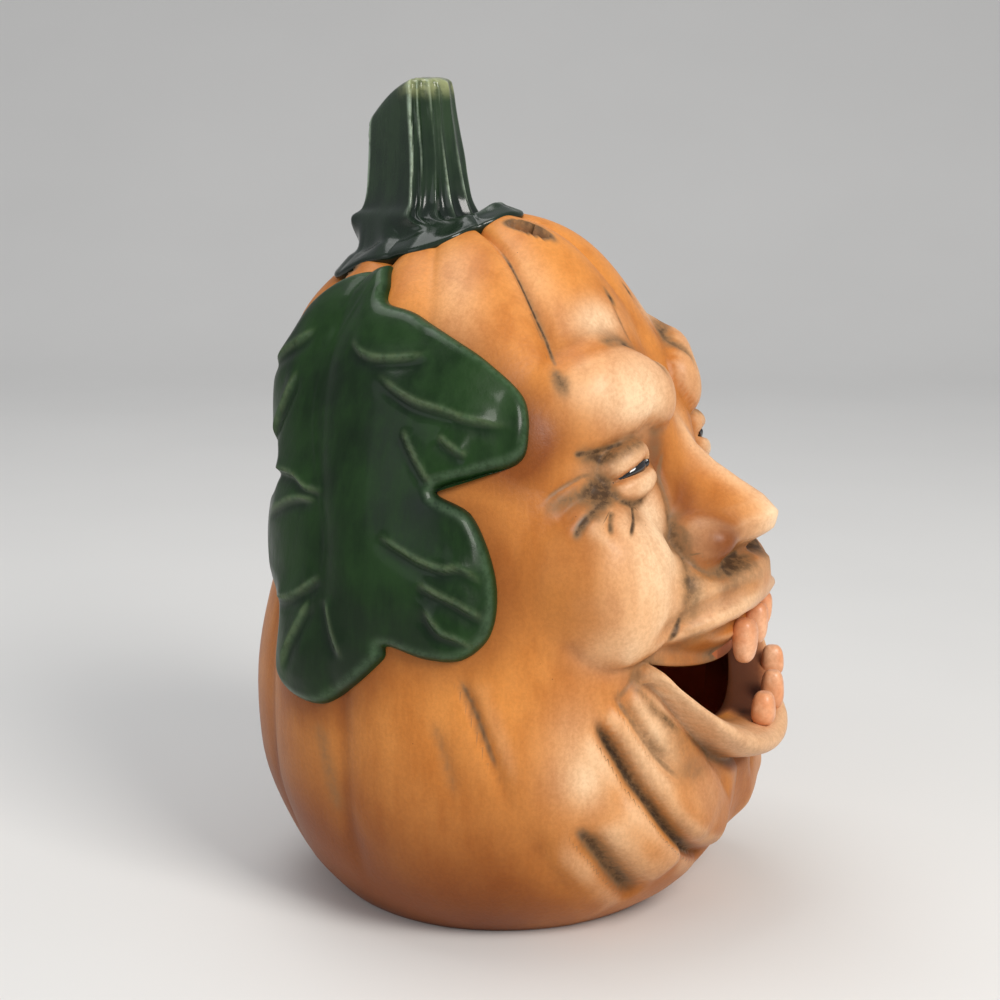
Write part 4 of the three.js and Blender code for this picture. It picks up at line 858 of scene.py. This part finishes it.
def make_pumpkin(material):
    """Outer and inner skin on shared columns, joined at the foot, round the mouth's slit and through
    the vents, and closed at the crown by one point each. The inner skin has fewer rows below the
    crown. Both have a second set of points along the slit for the mouth's lower edge."""
    across = column_places(COLUMNS, 0.6)
    z0, r0, mouth = body_rows(ROWS)
    first = int(np.searchsorted(z0, CROWN_Z))
    low = np.unique(np.append(np.linspace(0, first - 1, LOW_ROWS).round().astype(int), mouth))
    picked = np.concatenate([low, np.arange(first, ROWS)])
    inner_mouth = int(np.searchsorted(picked, mouth))
    out_skin = skin(z0[:-1], r0[:-1], mouth, across, relief)
    out_points, out_edge, height, edge_height, warped, edge_z = out_skin
    in_points, in_edge, *_ = skin(z0[picked[:-1]], r0[picked[:-1]], inner_mouth, across, hollow_relief)
    gone, moved = vent_cells(out_points[first:])
    shift = moved - out_points[first:]
    out_points[first:] += shift
    in_points[len(low):] += shift

    slit = np.abs(across) < MOUTH_REACH
    extra = np.where(slit)[0]
    outer = np.arange(out_points[..., 0].size).reshape(-1, COLUMNS)
    inner = outer.size + np.arange(in_points[..., 0].size).reshape(-1, COLUMNS)
    edges = outer.size + inner.size
    out_low, in_low = outer[mouth].copy(), inner[inner_mouth].copy()
    out_low[extra] = edges + np.arange(len(extra))
    in_low[extra] = edges + len(extra) + np.arange(len(extra))
    poles = edges + 2 * len(extra)
    pole_heights = np.array([0.0, float(hollow_relief(0.0, CROWN_HEIGHT))])
    top = place(np.zeros(2), np.full(2, CROWN_HEIGHT), pole_heights, np.zeros(2))
    skins = [grid.reshape(-1, 3) for grid in (out_points, in_points)]
    points = np.vstack([*skins, out_edge[extra], in_edge[extra], top])

    def skin_faces(rings, at, lower, holes_from):
        """Quads of one skin without the vents' cells; those under the slit end at its lower edge."""
        cells = np.ones((len(rings) - 1, COLUMNS), bool)
        cells[holes_from:] = ~gone
        high = rings[1:].copy()
        high[at - 1] = lower
        return np.stack([after(rings[:-1]), rings[:-1], high, after(high)], -1)[cells]

    open_cells = slit | after(slit)
    out_high, in_high = outer[mouth], inner[inner_mouth]
    faces = [
        skin_faces(outer, mouth, out_low, first),
        skin_faces(inner, inner_mouth, in_low, len(low))[:, ::-1],
        np.stack([after(out_high), after(in_high), in_high, out_high], -1)[open_cells],
        np.stack([out_low, in_low, after(in_low), after(out_low)], -1)[open_cells],
        np.stack([after(inner[0]), inner[0], outer[0], after(outer[0])], -1),
        vent_walls(gone, outer[first:], inner[len(low):]),
        fan(outer[-1], poles), fan(inner[-1], poles + 1, False),
    ]
    paint = skin_paint(np.broadcast_to(across, warped.shape), warped, height)
    edge_paint = skin_paint(*(np.repeat(row[None], 2, 0) for row in (across, edge_z, edge_height)))
    # Painted shade round the vents, outside and inside, and on the inside behind the mouth; the mouth's
    # inner edge gets 0.9 of it.
    paint["wash_and_shade"] = np.clip(paint["wash_and_shade"] + 0.8 * shade_round_vents(out_points, 0.22), 0, 1)
    shade_behind_mouth = 0.85 * bell(in_points[..., 2] - 70, 13) * (np.abs(across) < MOUTH_REACH + 3)
    inner_shade = np.maximum(shade_round_vents(in_points, 0.6), shade_behind_mouth)
    bare = np.zeros(inner_shade.shape)
    inner_paint = {"wash_and_shade": (inner_shade, 0.9), "inside": (bare + 1, 1.0)}
    values = {}
    for key, value in paint.items():
        inside, inside_edge = inner_paint.get(key, (bare, 0.0))
        values[key] = np.concatenate([value.ravel(), inside.ravel(), edge_paint[key][0][extra],
                                      np.full(len(extra), inside_edge), [value[-1, 0], inside[-1, 0]]])
    make_piece("pumpkin", points, faces, material, "pumpkin", "pumpkin_shell", "painted_orange", values)


# The leaf
# ridges: places from the midrib's side outwards, rise, below 0 where the steep side is the other one
LEAF_VEINS = [
    ([(129, 170), (120, 165.5), (109, 164), (95, 164)], 1.1),
    ([(116, 161), (104, 154), (98.7, 151.6), (92, 149.4), (87, 147.2), (79, 145), (71, 143)], 1.3),
    ([(95, 144), (90.5, 140.2), (86, 137.6)], 1.2),
    ([(106, 147), (102, 139), (98, 132.5), (95, 129.5)], 1.2),
    ([(114, 120), (105.5, 115), (100.4, 112.2), (95.3, 110.4), (90.4, 110.2), (84, 105)], 1.3),
    ([(103, 107.5), (97, 104.1), (92, 101.4), (84, 96)], 1.2),
    ([(101, 101), (97, 94.5), (92, 92), (85, 87)], 1.2),
    ([(148, 173), (155, 170), (166, 166), (176, 163)], -1.0),
    ([(152, 163), (157, 155), (162, 149), (168, 142)], -1.0),
    ([(134, 131), (141, 131.5), (149, 135), (160, 136), (172, 137)], -1.2),
    ([(137, 128), (146, 128.6), (156, 126), (166, 122)], -1.0),
    ([(134, 108), (141, 103), (149, 99.5), (158, 99)], -1.2),
    ([(138, 101), (142, 93), (146, 85), (149, 76)], -1.0),
    ([(132, 102), (129, 92), (125, 84)], 0.8),
]
MIDRIB = [(126, 186), (134, 176), (141, 166), (142, 150), (137, 132), (133, 114), (137, 98), (141, 82)]
LEAF_SWELLS = [((88, 152), (15, 12), 1.2), ((96, 104), (13, 12), 1.3), ((143, 82), (10, 11), 1.0),
               ((165, 156), (14, 14), 1.0), ((165, 120), (12, 12), 1.0), ((118, 176), (12, 8), 0.8),
               ((167, 138), (20, 45), 2.4)]


def leaf_surface(s, z):
    """Height of the leaf's face over the skin: a plate with its edge rounded over 4.5 mm, swollen in
    the lobes and sunk along the midrib. Each vein is a ridge that falls over 3.4 mm on one side and
    over 0.8 mm on the other, with a soft hollow at its foot."""
    d = near(s, z, LEAF_LINE)[0]
    rounded_edge = np.sqrt(np.clip(1 - (1 - np.clip(d / 4.5, 0, 1)) ** 2, 0, 1))
    inner = smoothstep(d, 0.5, 5)
    height = 4.4 * rounded_edge + sum(swell(s, z, *row) for row in LEAF_SWELLS) * smoothstep(d, 0, 9)
    crest, hollow = np.zeros(np.shape(s)), np.zeros(np.shape(s))
    for places, rise in LEAF_VEINS:
        distance, share, side = near(s, z, curve(places))
        steep = side * np.sign(rise) <= 0
        ends = faded(share, (0.2, 0.3))
        slope = bell(distance, np.where(steep, 0.8, 3.4), 1.5)
        foot = steep * bell(distance - 2.0, 1.8) * smoothstep(distance, 0, 1.2)
        height += ends * abs(rise) * (slope - 0.5 * foot) * inner
        crest = np.maximum(crest, ends * bell(distance, 0.8))
        hollow = np.maximum(hollow, ends * foot)
    height -= 0.6 * mark(s, z, MIDRIB, 5.0, (0.1, 0.2), 2.0) * inner
    height += 0.15 * mark(s, z, MIDRIB, 1.0, (0.1, 0.2), 1.6) * inner
    return height, d, crest * inner, hollow * inner


def make_leaf(material):
    """Rings of points share (edge - middle) from the middle to the outline; the face lies on the
    skin with its valleys bridged by 65%, and the back lies 1.5 mm inside the skin."""
    bridge, sunk, back = 0.65, 0.4, 1.5
    outline = curve(LEAF_EDGE, 14)[:-1]
    share = 1 - (1 - np.linspace(0, 1, 96)[1:]) ** 1.4
    rings = np.concatenate([share, [1.0, 0.92, 0.75, 0.5, 0.25]])
    grid = LEAF_MIDDLE + rings[:, None, None] * (outline - LEAF_MIDDLE)
    s, z = grid[..., 0], grid[..., 1]
    face = len(share)
    over, d, crest, hollow = leaf_surface(s[:face], z[:face])
    on_skin = relief(s, z)
    bridged = on_skin[:face] - bridge * ribs(s[:face], z[:face]) * smoothstep(d, 0, 9)
    height = np.concatenate([bridged + over - sunk, on_skin[face:] - back])
    middle_s, middle_z = LEAF_MIDDLE[:1], LEAF_MIDDLE[1:]
    middle = relief(middle_s, middle_z)
    top = middle + leaf_surface(middle_s, middle_z)[0] - sunk - bridge * ribs(middle_s, middle_z)
    ends = place(np.repeat(middle_s, 2), np.repeat(middle_z, 2), np.append(top, middle - back))
    points, faces = closed(place(s, z, height), *ends)
    # The rim and the veins' crests get thinner glaze and a painted highlight.
    rim = bell(d - 2.0, 1.1)
    # The notch gets painted shadow under the upper lobe; the veins' hollows get painted shade.
    notch = swell(s[:face], z[:face], (97, 127), (9, 3.5), 0.8)
    shares = {"ridge": 0.4 * rim + 0.5 * crest, "wear": 0.12 * crest, "shade": 0.5 * hollow + notch}
    values = {key: np.append(np.clip(value, 0, 1).ravel(), np.zeros(len(points) - value.size))
              for key, value in shares.items()}
    make_piece("leaf_dressed", points, faces, material, "pumpkin", "leaf", "leaf_glaze", values)


# The stem
STEM_BACK, STEM_RADIUS, STEM_TOP, CAP_FRONT = 26.0, 12.7, 240.0, 2.8
CALYX_BACK, CALYX_RADIUS = 21.0, 25.0
CALYX_TIPS = [(0.0, 0.2), (2.51, 0.13)]  # radians round from -Y, width
# ridges: degrees round the stem from the view's side towards the face, width, rise
STEM_RIDGES = [
    (-6, 4, 1.5), (2, 3, 1.2), (20, 5, 1.5), (35, 4.5, 1.6), (60, 7, 1.9), (88, 8, 1.5), (113, 6, 1.4),
    (140, 8, 1.7), (166, 6, 1.3), (197, 7, 1.6), (226, 6, 1.5), (258, 6, 1.7),
]
# calyx rings: share of CALYX_RADIUS, height over the crown; shaft rings: share of the radius, rise
CALYX_RINGS = [(0.86, -4.6), (0.97, -3.4), (1.0, -1.0), (0.985, 0.5), (0.93, 1.2), (0.84, 1.9), (0.74, 2.9)]
SHAFT_RINGS = [
    (1.36, 0.11), (1.14, 0.2), (1.04, 0.33), (1.0, 0.5), (0.98, 0.65), (0.97, 0.8), (0.96, 0.9),
    (0.93, 0.955), (0.84, 0.985), (0.62, 1.0), (0.3, 1.004),
]
VIEW_SIDE = math.atan2(*VIEW)


def stem_radius(turn, rise):
    """Radius of the shaft: a round of STEM_RADIUS with ridges, exp(-(d / w)^1.6), that wander and
    swell along it, cut by a flat side; it draws in towards the face's side at the top. turn is
    measured from -Y."""
    degrees = np.degrees(turn - VIEW_SIDE) + 3.0 * math.sin(3.2 * rise)
    radius = STEM_RADIUS - 2.6 * smoothstep(rise, 0.35, 1.0) * np.clip(np.cos(turn), 0, 1)
    for at, width, high in STEM_RIDGES:
        d = wrapped(-at + 1.6 * math.sin(7 * rise + at) - degrees, 360)
        swollen = high * (0.85 + 0.3 * math.sin(5 * rise + 2 * at))
        radius = radius + swollen * bell(d, width * (0.8 + 0.4 * rise), 1.6)
    flat = wrapped(degrees - 50, 360)
    chord = 11.2 / np.cos(np.radians(np.clip(flat, -60, 60)))
    return np.where(np.abs(flat) < 43, np.minimum(radius + 2, chord), radius)


def cap_height(y):
    """Height of the stem's cap: it falls by 0.38 u + 0.018 u^2 at u mm behind its front."""
    u = np.clip(y + CAP_FRONT, 0, None)
    return STEM_TOP - 0.38 * u - 0.018 * u**2


def make_stem(material):
    """Control rings from under the calyx to the cap, each column then drawn as a Catmull-Rom curve.
    Calyx rings hug the crown, with lobes of cosines and two pointed tips; shaft rings are level."""
    turn = turns(300)
    tips = sum(0.04 * bell(wrapped(turn - at, 2 * math.pi), wide) for at, wide in CALYX_TIPS)
    lobes = 0.04 * np.cos(5 * turn) + 0.012 * np.cos(13 * turn + 1) + tips
    rings = []
    for share, out in CALYX_RINGS:
        r = CALYX_RADIUS * share * (1 + lobes * min(1.0, 1.6 * share - 0.6))
        flute = 0.45 * smoothstep(1 - share, 0.02, 0.2) * np.cos(10 * turn)
        low = out - 0.35 * max(out, 0) * np.abs(np.cos(turn))
        rings.append(crown_place(-np.sin(turn) * r, CALYX_BACK - np.cos(turn) * r, low + flute))
    base = crown_place(np.zeros(1), np.full(1, STEM_BACK), 0.0)[0, 2]
    for share, rise in SHAFT_RINGS:
        round_part = 0.55 * smoothstep(rise, 0.97, 1.0)
        r = share * ((1 - round_part) * stem_radius(turn, rise) + round_part * STEM_RADIUS)
        y = -np.cos(turn) * r
        top = cap_height(y) - 0.06 * np.clip(-y - 7, 0, None) ** 2
        rings.append(np.stack([-np.sin(turn) * r, STEM_BACK + y, base + (top - base) * rise], -1))
    control = np.array(rings)
    smooth = curve(control.reshape(len(control), -1), 6).reshape(-1, len(turn), 3)
    bottom = crown_place(np.zeros(1), np.full(1, CALYX_BACK), -4.6)[0]
    points, faces = closed(smooth, bottom, [0, STEM_BACK, base + (cap_height(0) - base) * 1.005])
    out_way = np.hypot(smooth[..., 0], smooth[..., 1] - STEM_BACK)
    proud = out_way - blurred(out_way, 25)
    rise = np.clip((smooth[..., 2] - base) / (STEM_TOP - base), 0, 1)
    # Crests get a painted highlight through ridge and wear; shade is darker towards the foot and painted
    # shade in the flutes.
    crest = smoothstep(proud, 0.15, 0.8) * smoothstep(rise, 0.1, 0.3)
    cap_edge = smoothstep(rise, 0.84, 0.96) * smoothstep(-smooth[..., 1] + STEM_BACK, -4, 6)
    shade = 0.75 * (1 - smoothstep(rise, 0.08, 0.4)) + 0.5 * smoothstep(-proud, 0.1, 0.7)
    shares = {"ridge": (0.85 * crest, 0), "wear": (0.2 * crest + 0.75 * cap_edge, 0), "shade": (shade, 1)}
    values = {key: np.append(np.clip(value, 0, 1).ravel(), [bottom_value, 0])
              for key, (value, bottom_value) in shares.items()}
    make_piece("stem_dressed", points, faces, material, "pumpkin", "stem", "stem_glaze", values)


# Teeth and eyes: node, across, height of the tip, half width, half height, lean to the side, whether
# it hangs
TEETH = [
    ("upper_tooth_right", 6.5, 72.7, 4.1, 6.4, 0.05, True),
    ("upper_tooth_middle", -4.0, 75.0, 3.5, 6.0, -0.05, True),
    ("upper_tooth_left", -13.0, 77.4, 3.0, 5.2, 0.05, True),
    ("lower_tooth_right", 1.0, 64.8, 3.6, 4.9, -0.05, False),
    ("lower_tooth_middle", -11.0, 67.2, 3.4, 5.8, 0.06, False),
    ("lower_tooth_left", -24.0, 69.8, 2.9, 4.6, -0.05, False),
]
TOOTH_DEPTH, UPPER_GUM, LOWER_GUM = 3.4, 8.2, 11.0


def make_tooth(node, across, tip, half, tall, bend, upper, material):
    """Superellipsoid peg, |cos| and |sin| round it and up it to the power 0.8 and its girth to the
    power 0.55, tapered by 9% each way to the tip and bent by bend times height squared, upright on
    the gum."""
    phi, theta = np.meshgrid(turns(40), np.linspace(-math.pi / 2, math.pi / 2, 30)[1:-1])
    level = signed_power(np.sin(theta), 0.8)
    towards_tip = -level if upper else level
    girth = signed_power(np.cos(theta), 0.55) * (1 - 0.09 * towards_tip)
    x = half * girth * signed_power(np.cos(phi), 0.8) + bend * tall * level**2
    depth = TOOTH_DEPTH * girth * signed_power(np.sin(phi), 0.8)
    turn = across / FACE_RADIUS
    middle = np.array(tip + (tall if upper else -tall))
    origin = place(np.array(across), middle, np.array(UPPER_GUM if upper else LOWER_GUM))
    outward = np.array([-math.sin(turn), -math.cos(turn), 0.0])
    sideways = np.array([-math.cos(turn), math.sin(turn), 0.0])
    lift = np.array([0.0, 0.0, 1.0])
    grid = origin + x[..., None] * sideways + depth[..., None] * outward + tall * level[..., None] * lift
    ends = origin + np.array([[-tall], [tall]]) * lift + bend * tall * sideways
    root = smoothstep(-towards_tip, 0.2, 1.0).ravel()
    values = {"root": np.append(root, [0.0, 1.0] if upper else [1.0, 0.0])}
    make_piece(node + "_dressed", *closed(grid, *ends), material, "pumpkin", node, "tooth_paint", values)


def make_eye(side, node, material):
    """Spindle along the slit between the lids: half height 0.5 mm at the outer end and 2.4 mm at the
    inner one, 1.1 times as deep, its axis 0.5 mm under the slit's floor."""
    line = curve(EYE_LINE, 14)
    t = np.linspace(0, 1, len(line))[:, None]
    size = (0.5 + 1.9 * t) * np.sqrt(np.clip(1 - (2 * t - 1) ** 8, 0.001, 1))
    turn = turns(28)
    axis = relief(line[:, 0], line[:, 1])[:, None] - 0.5
    s = side * np.repeat(line[:, :1], len(turn), 1)
    grid = place(s, line[:, 1:] + size * np.cos(turn), axis + 1.1 * size * np.sin(turn))
    ends = place(side * line[[0, -1], 0], line[[0, -1], 1], axis[[0, -1], 0])
    make_piece(node + "_dressed", *closed(grid, *ends), material, "pumpkin", node, "black_glaze")


# Plate and tea light
def spun(r, z, turn):
    """Rows (r, z) turned about Z."""
    return np.stack([r * np.cos(turn), r * np.sin(turn), z + 0 * turn], -1)


def turned(name, outline, count, material, body, node, slot, ripple=None):
    """Outline (r, z) from the foot's middle round to the top's middle, turned about Z. Its first and
    last points are on the axis. ripple(turn, r, z) moves the radius."""
    path = np.array(outline, float)
    turn = turns(count)
    r, z = path[1:-1, :1], path[1:-1, 1:]
    radius = r + (ripple(turn, r, z) if ripple else 0 * turn)
    points, faces = closed(spun(radius, z, turn), [0, 0, path[0, 1]], [0, 0, path[-1, 1]])
    make_piece(name, points, faces, material, body, node, slot)


def rounded(corners, radii, steps=5):
    """Corner points replaced by quadratic arcs that start and end a radius away."""
    path = [corners[0]]
    for before, corner, beyond, radius in zip(corners[:-2], corners[1:-1], corners[2:], radii):
        at, *ends = (np.array(p, float) for p in (corner, before, beyond))
        into, out = (at + (end - at) / np.linalg.norm(end - at) * radius for end in ends)
        t = np.linspace(0, 1, steps)[:, None]
        path += ((1 - t) ** 2 * into + 2 * t * (1 - t) * at + t**2 * out).tolist()
    return [*path, corners[-1]]


def make_plate(material):
    """Disc 5 mm thick with a ring 4 mm tall that centres the tea light."""
    corners = [(0, 0), (42.65, 0), (42.65, 5), (22.7, 5), (22.7, 9), (20.2, 9), (20.2, 5), (0, 5)]
    outline = rounded(corners, [1.0, 1.2, 1.2, 0.9, 0.9, 0.9])
    turned("plate_dressed", outline, 160, material, "base", "candle_plate", "plain_glaze")


def make_cup(material):
    """Thin cup with a rolled rim and 60 shallow flutes on its wall, 0.1 sin(60 turn) mm."""
    corners = [(0, 5.3), (19.2, 5.3), (19.2, 20.6), (19.5, 21.0), (19.2, 21.3), (18.75, 21.3), (18.7, 20.8),
               (18.7, 6.1), (0, 6.1)]
    outline = rounded(corners, [0.7, 0.15, 0.15, 0.15, 0.15, 0.15, 0.6])

    def flutes(turn, r, z):
        on_wall = smoothstep(z, 6, 7) * (1 - smoothstep(z, 19, 20)) * (r > 15)
        return 0.1 * np.sin(60 * turn) * on_wall

    turned("cup_dressed", outline, 480, material, "tealight", "tealight_cup", "thin_aluminium", flutes)


def make_wax(material):
    """Wax body with a bore for the wick and a recess for its tab; its top rises to the wall by
    0.6 exp(-d / 1.2) mm and to the wick by 0.5 exp(-d / 0.9) mm."""
    outside, bore = 18.4, 1.3
    r = np.concatenate([np.linspace(outside, 16, 10), np.linspace(15, 1.5, 16)])
    z = 18.3 + 0.6 * np.exp(-(outside - r) / 1.2) + 0.5 * np.exp(-(r - bore) / 0.9)
    top = [*zip(r, z), (bore, 18.6)]
    path = np.array([(6.3, 6.4), (18.0, 6.4), (outside, 6.8), *top, (bore, 7.7), (6.3, 7.7)])
    turn = turns(96)
    points = spun(path[:, :1], path[:, 1:], turn).reshape(-1, 3)
    index = np.arange(len(points)).reshape(-1, len(turn))
    faces = [bands(np.vstack([index, index[:1]]))[:, ::-1]]
    make_piece("wax_dressed", points, faces, material, "tealight", "tealight_wax", "white_wax")


def make_wick(material):
    """Braided wick with a rounded tip: radius 0.78 + 0.2 s, where s is the larger of
    |sin(1.5 turn + 2.2 z)| and |sin(1.5 turn - 2.2 z)|."""
    turn, tip = turns(36), 24.2
    z = np.linspace(7.8, 24.8, 90)[:, None]
    strand = np.maximum(np.abs(np.sin(1.5 * turn + z * 2.2)), np.abs(np.sin(1.5 * turn - z * 2.2)))
    tip_share = np.sqrt(np.clip(1 - ((z - tip) / 0.7) ** 2, 0.05, 1))
    radius = (0.78 + 0.2 * strand) * np.where(z > tip, tip_share, 1)
    points, faces = closed(spun(radius, z, turn), [0, 0, 7.75], [0, 0, 24.9])
    values = {"strand": np.append(smoothstep(strand, 0.5, 0.95).ravel(), [0.5, 0.5])}
    make_piece("wick_dressed", points, faces, material, "tealight", "wick", "cotton", values)


make_pumpkin(painted_clay())
# The third colour of each glaze is for rims and ridges: thinner glaze and a painted highlight.
make_leaf(glazed_green("leaf_glaze", srgb(12, 34, 9), srgb(27, 56, 18), srgb(84, 110, 80), 0.36, 0.16))
make_stem(glazed_green("stem_glaze", srgb(24, 40, 26), srgb(42, 62, 38), srgb(172, 192, 172), 0.24, 0.5))
tooth = tooth_paint()
for row in TEETH:
    make_tooth(*row, tooth)
glaze = black_glaze()
make_eye(1, "right_eye", glaze)
make_eye(-1, "left_eye", glaze)
make_plate(plain_clay("plate_glaze", srgb(150, 84, 38), srgb(182, 108, 56), 0.35))
metal = thin_metal()
make_cup(metal)
make_wax(candle_wax())
make_wick(cotton_braid())
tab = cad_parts["wick_tab"]
tab.data.materials.clear()
tab.data.materials.append(metal)


# Floor, backdrop, light and camera
# lamps: name, place in metres, size in metres, watts, colour
LAMPS = [
    ("key", (-0.55, -0.95, 0.95), 0.55, 14.0, (1.0, 0.97, 0.93)),
    ("fill", (-1.1, 0.45, 0.65), 0.9, 2.6, (0.95, 0.97, 1.0)),
    ("top", (0.1, 0.3, 1.2), 0.7, 4.5, (1.0, 1.0, 1.0)),
]


def backdrop():
    """Pale floor that turns up into a wall 1 m behind the object, on an arc of 1.4 m."""
    f = Finish("backdrop", 0.9)
    f.set("Base Color", f.mix(f.noise(6, 2), srgb(222, 221, 218), srgb(228, 227, 224)))
    back, across = np.array(VIEW), np.array([VIEW[1], -VIEW[0]])
    run = np.linspace(-900, 2400, 60)
    rise = 1400 * (1 - np.cos(np.clip((run - 1000) / 1400, 0, 1) * math.pi / 2))
    points = [(*(back * far + across * side), up) for far, up in zip(run, rise) for side in (-2400, 2400)]
    row = np.arange(len(run) - 1) * 2
    faces = [np.stack([row, row + 1, row + 3, row + 2], -1)]
    floor = make_object("floor", points, faces, f.material)


def studio():
    """Faint cool light from all round and three large soft lamps turned to the pumpkin's middle."""
    world = bpy.data.worlds.new("studio")
    bpy.context.scene.world = world
    world.use_nodes = True
    background = world.node_tree.nodes["Background"]
    background.inputs["Color"].default_value = (0.93, 0.95, 1.0, 1.0)
    background.inputs["Strength"].default_value = 0.4
    for name, spot, size, power, colour in LAMPS:
        light = bpy.data.lights.new(name, "AREA")
        light.size, light.energy, light.color = size, power, colour
        lamp = bpy.data.objects.new(name, light)
        lamp.location = spot
        x, y, z = np.array(spot) - np.array([0, 0, 0.11])
        lamp.rotation_euler = (math.atan2(math.hypot(x, y), z), 0, math.atan2(x, -y))
        bpy.context.scene.collection.objects.link(lamp)


def camera():
    """68 degrees round from the front towards -X, 12 degrees up, 0.6 m away, 72 mm lens, turned to a
    point 116 mm above the table."""
    azimuth, elevation, distance = math.radians(-68), math.radians(12), 0.6
    level, up = distance * math.cos(elevation), distance * math.sin(elevation)
    data = bpy.data.cameras.new("camera")
    data.lens, data.sensor_width = 72, 36
    made = bpy.data.objects.new("camera", data)
    made.location = (math.sin(azimuth) * level, -math.cos(azimuth) * level, up + 0.116)
    made.rotation_euler = (math.pi / 2 - elevation, 0, azimuth)
    bpy.context.scene.collection.objects.link(made)
    bpy.context.scene.camera = made


backdrop()
studio()
camera()
bpy.context.scene.view_settings.view_transform = "Standard"
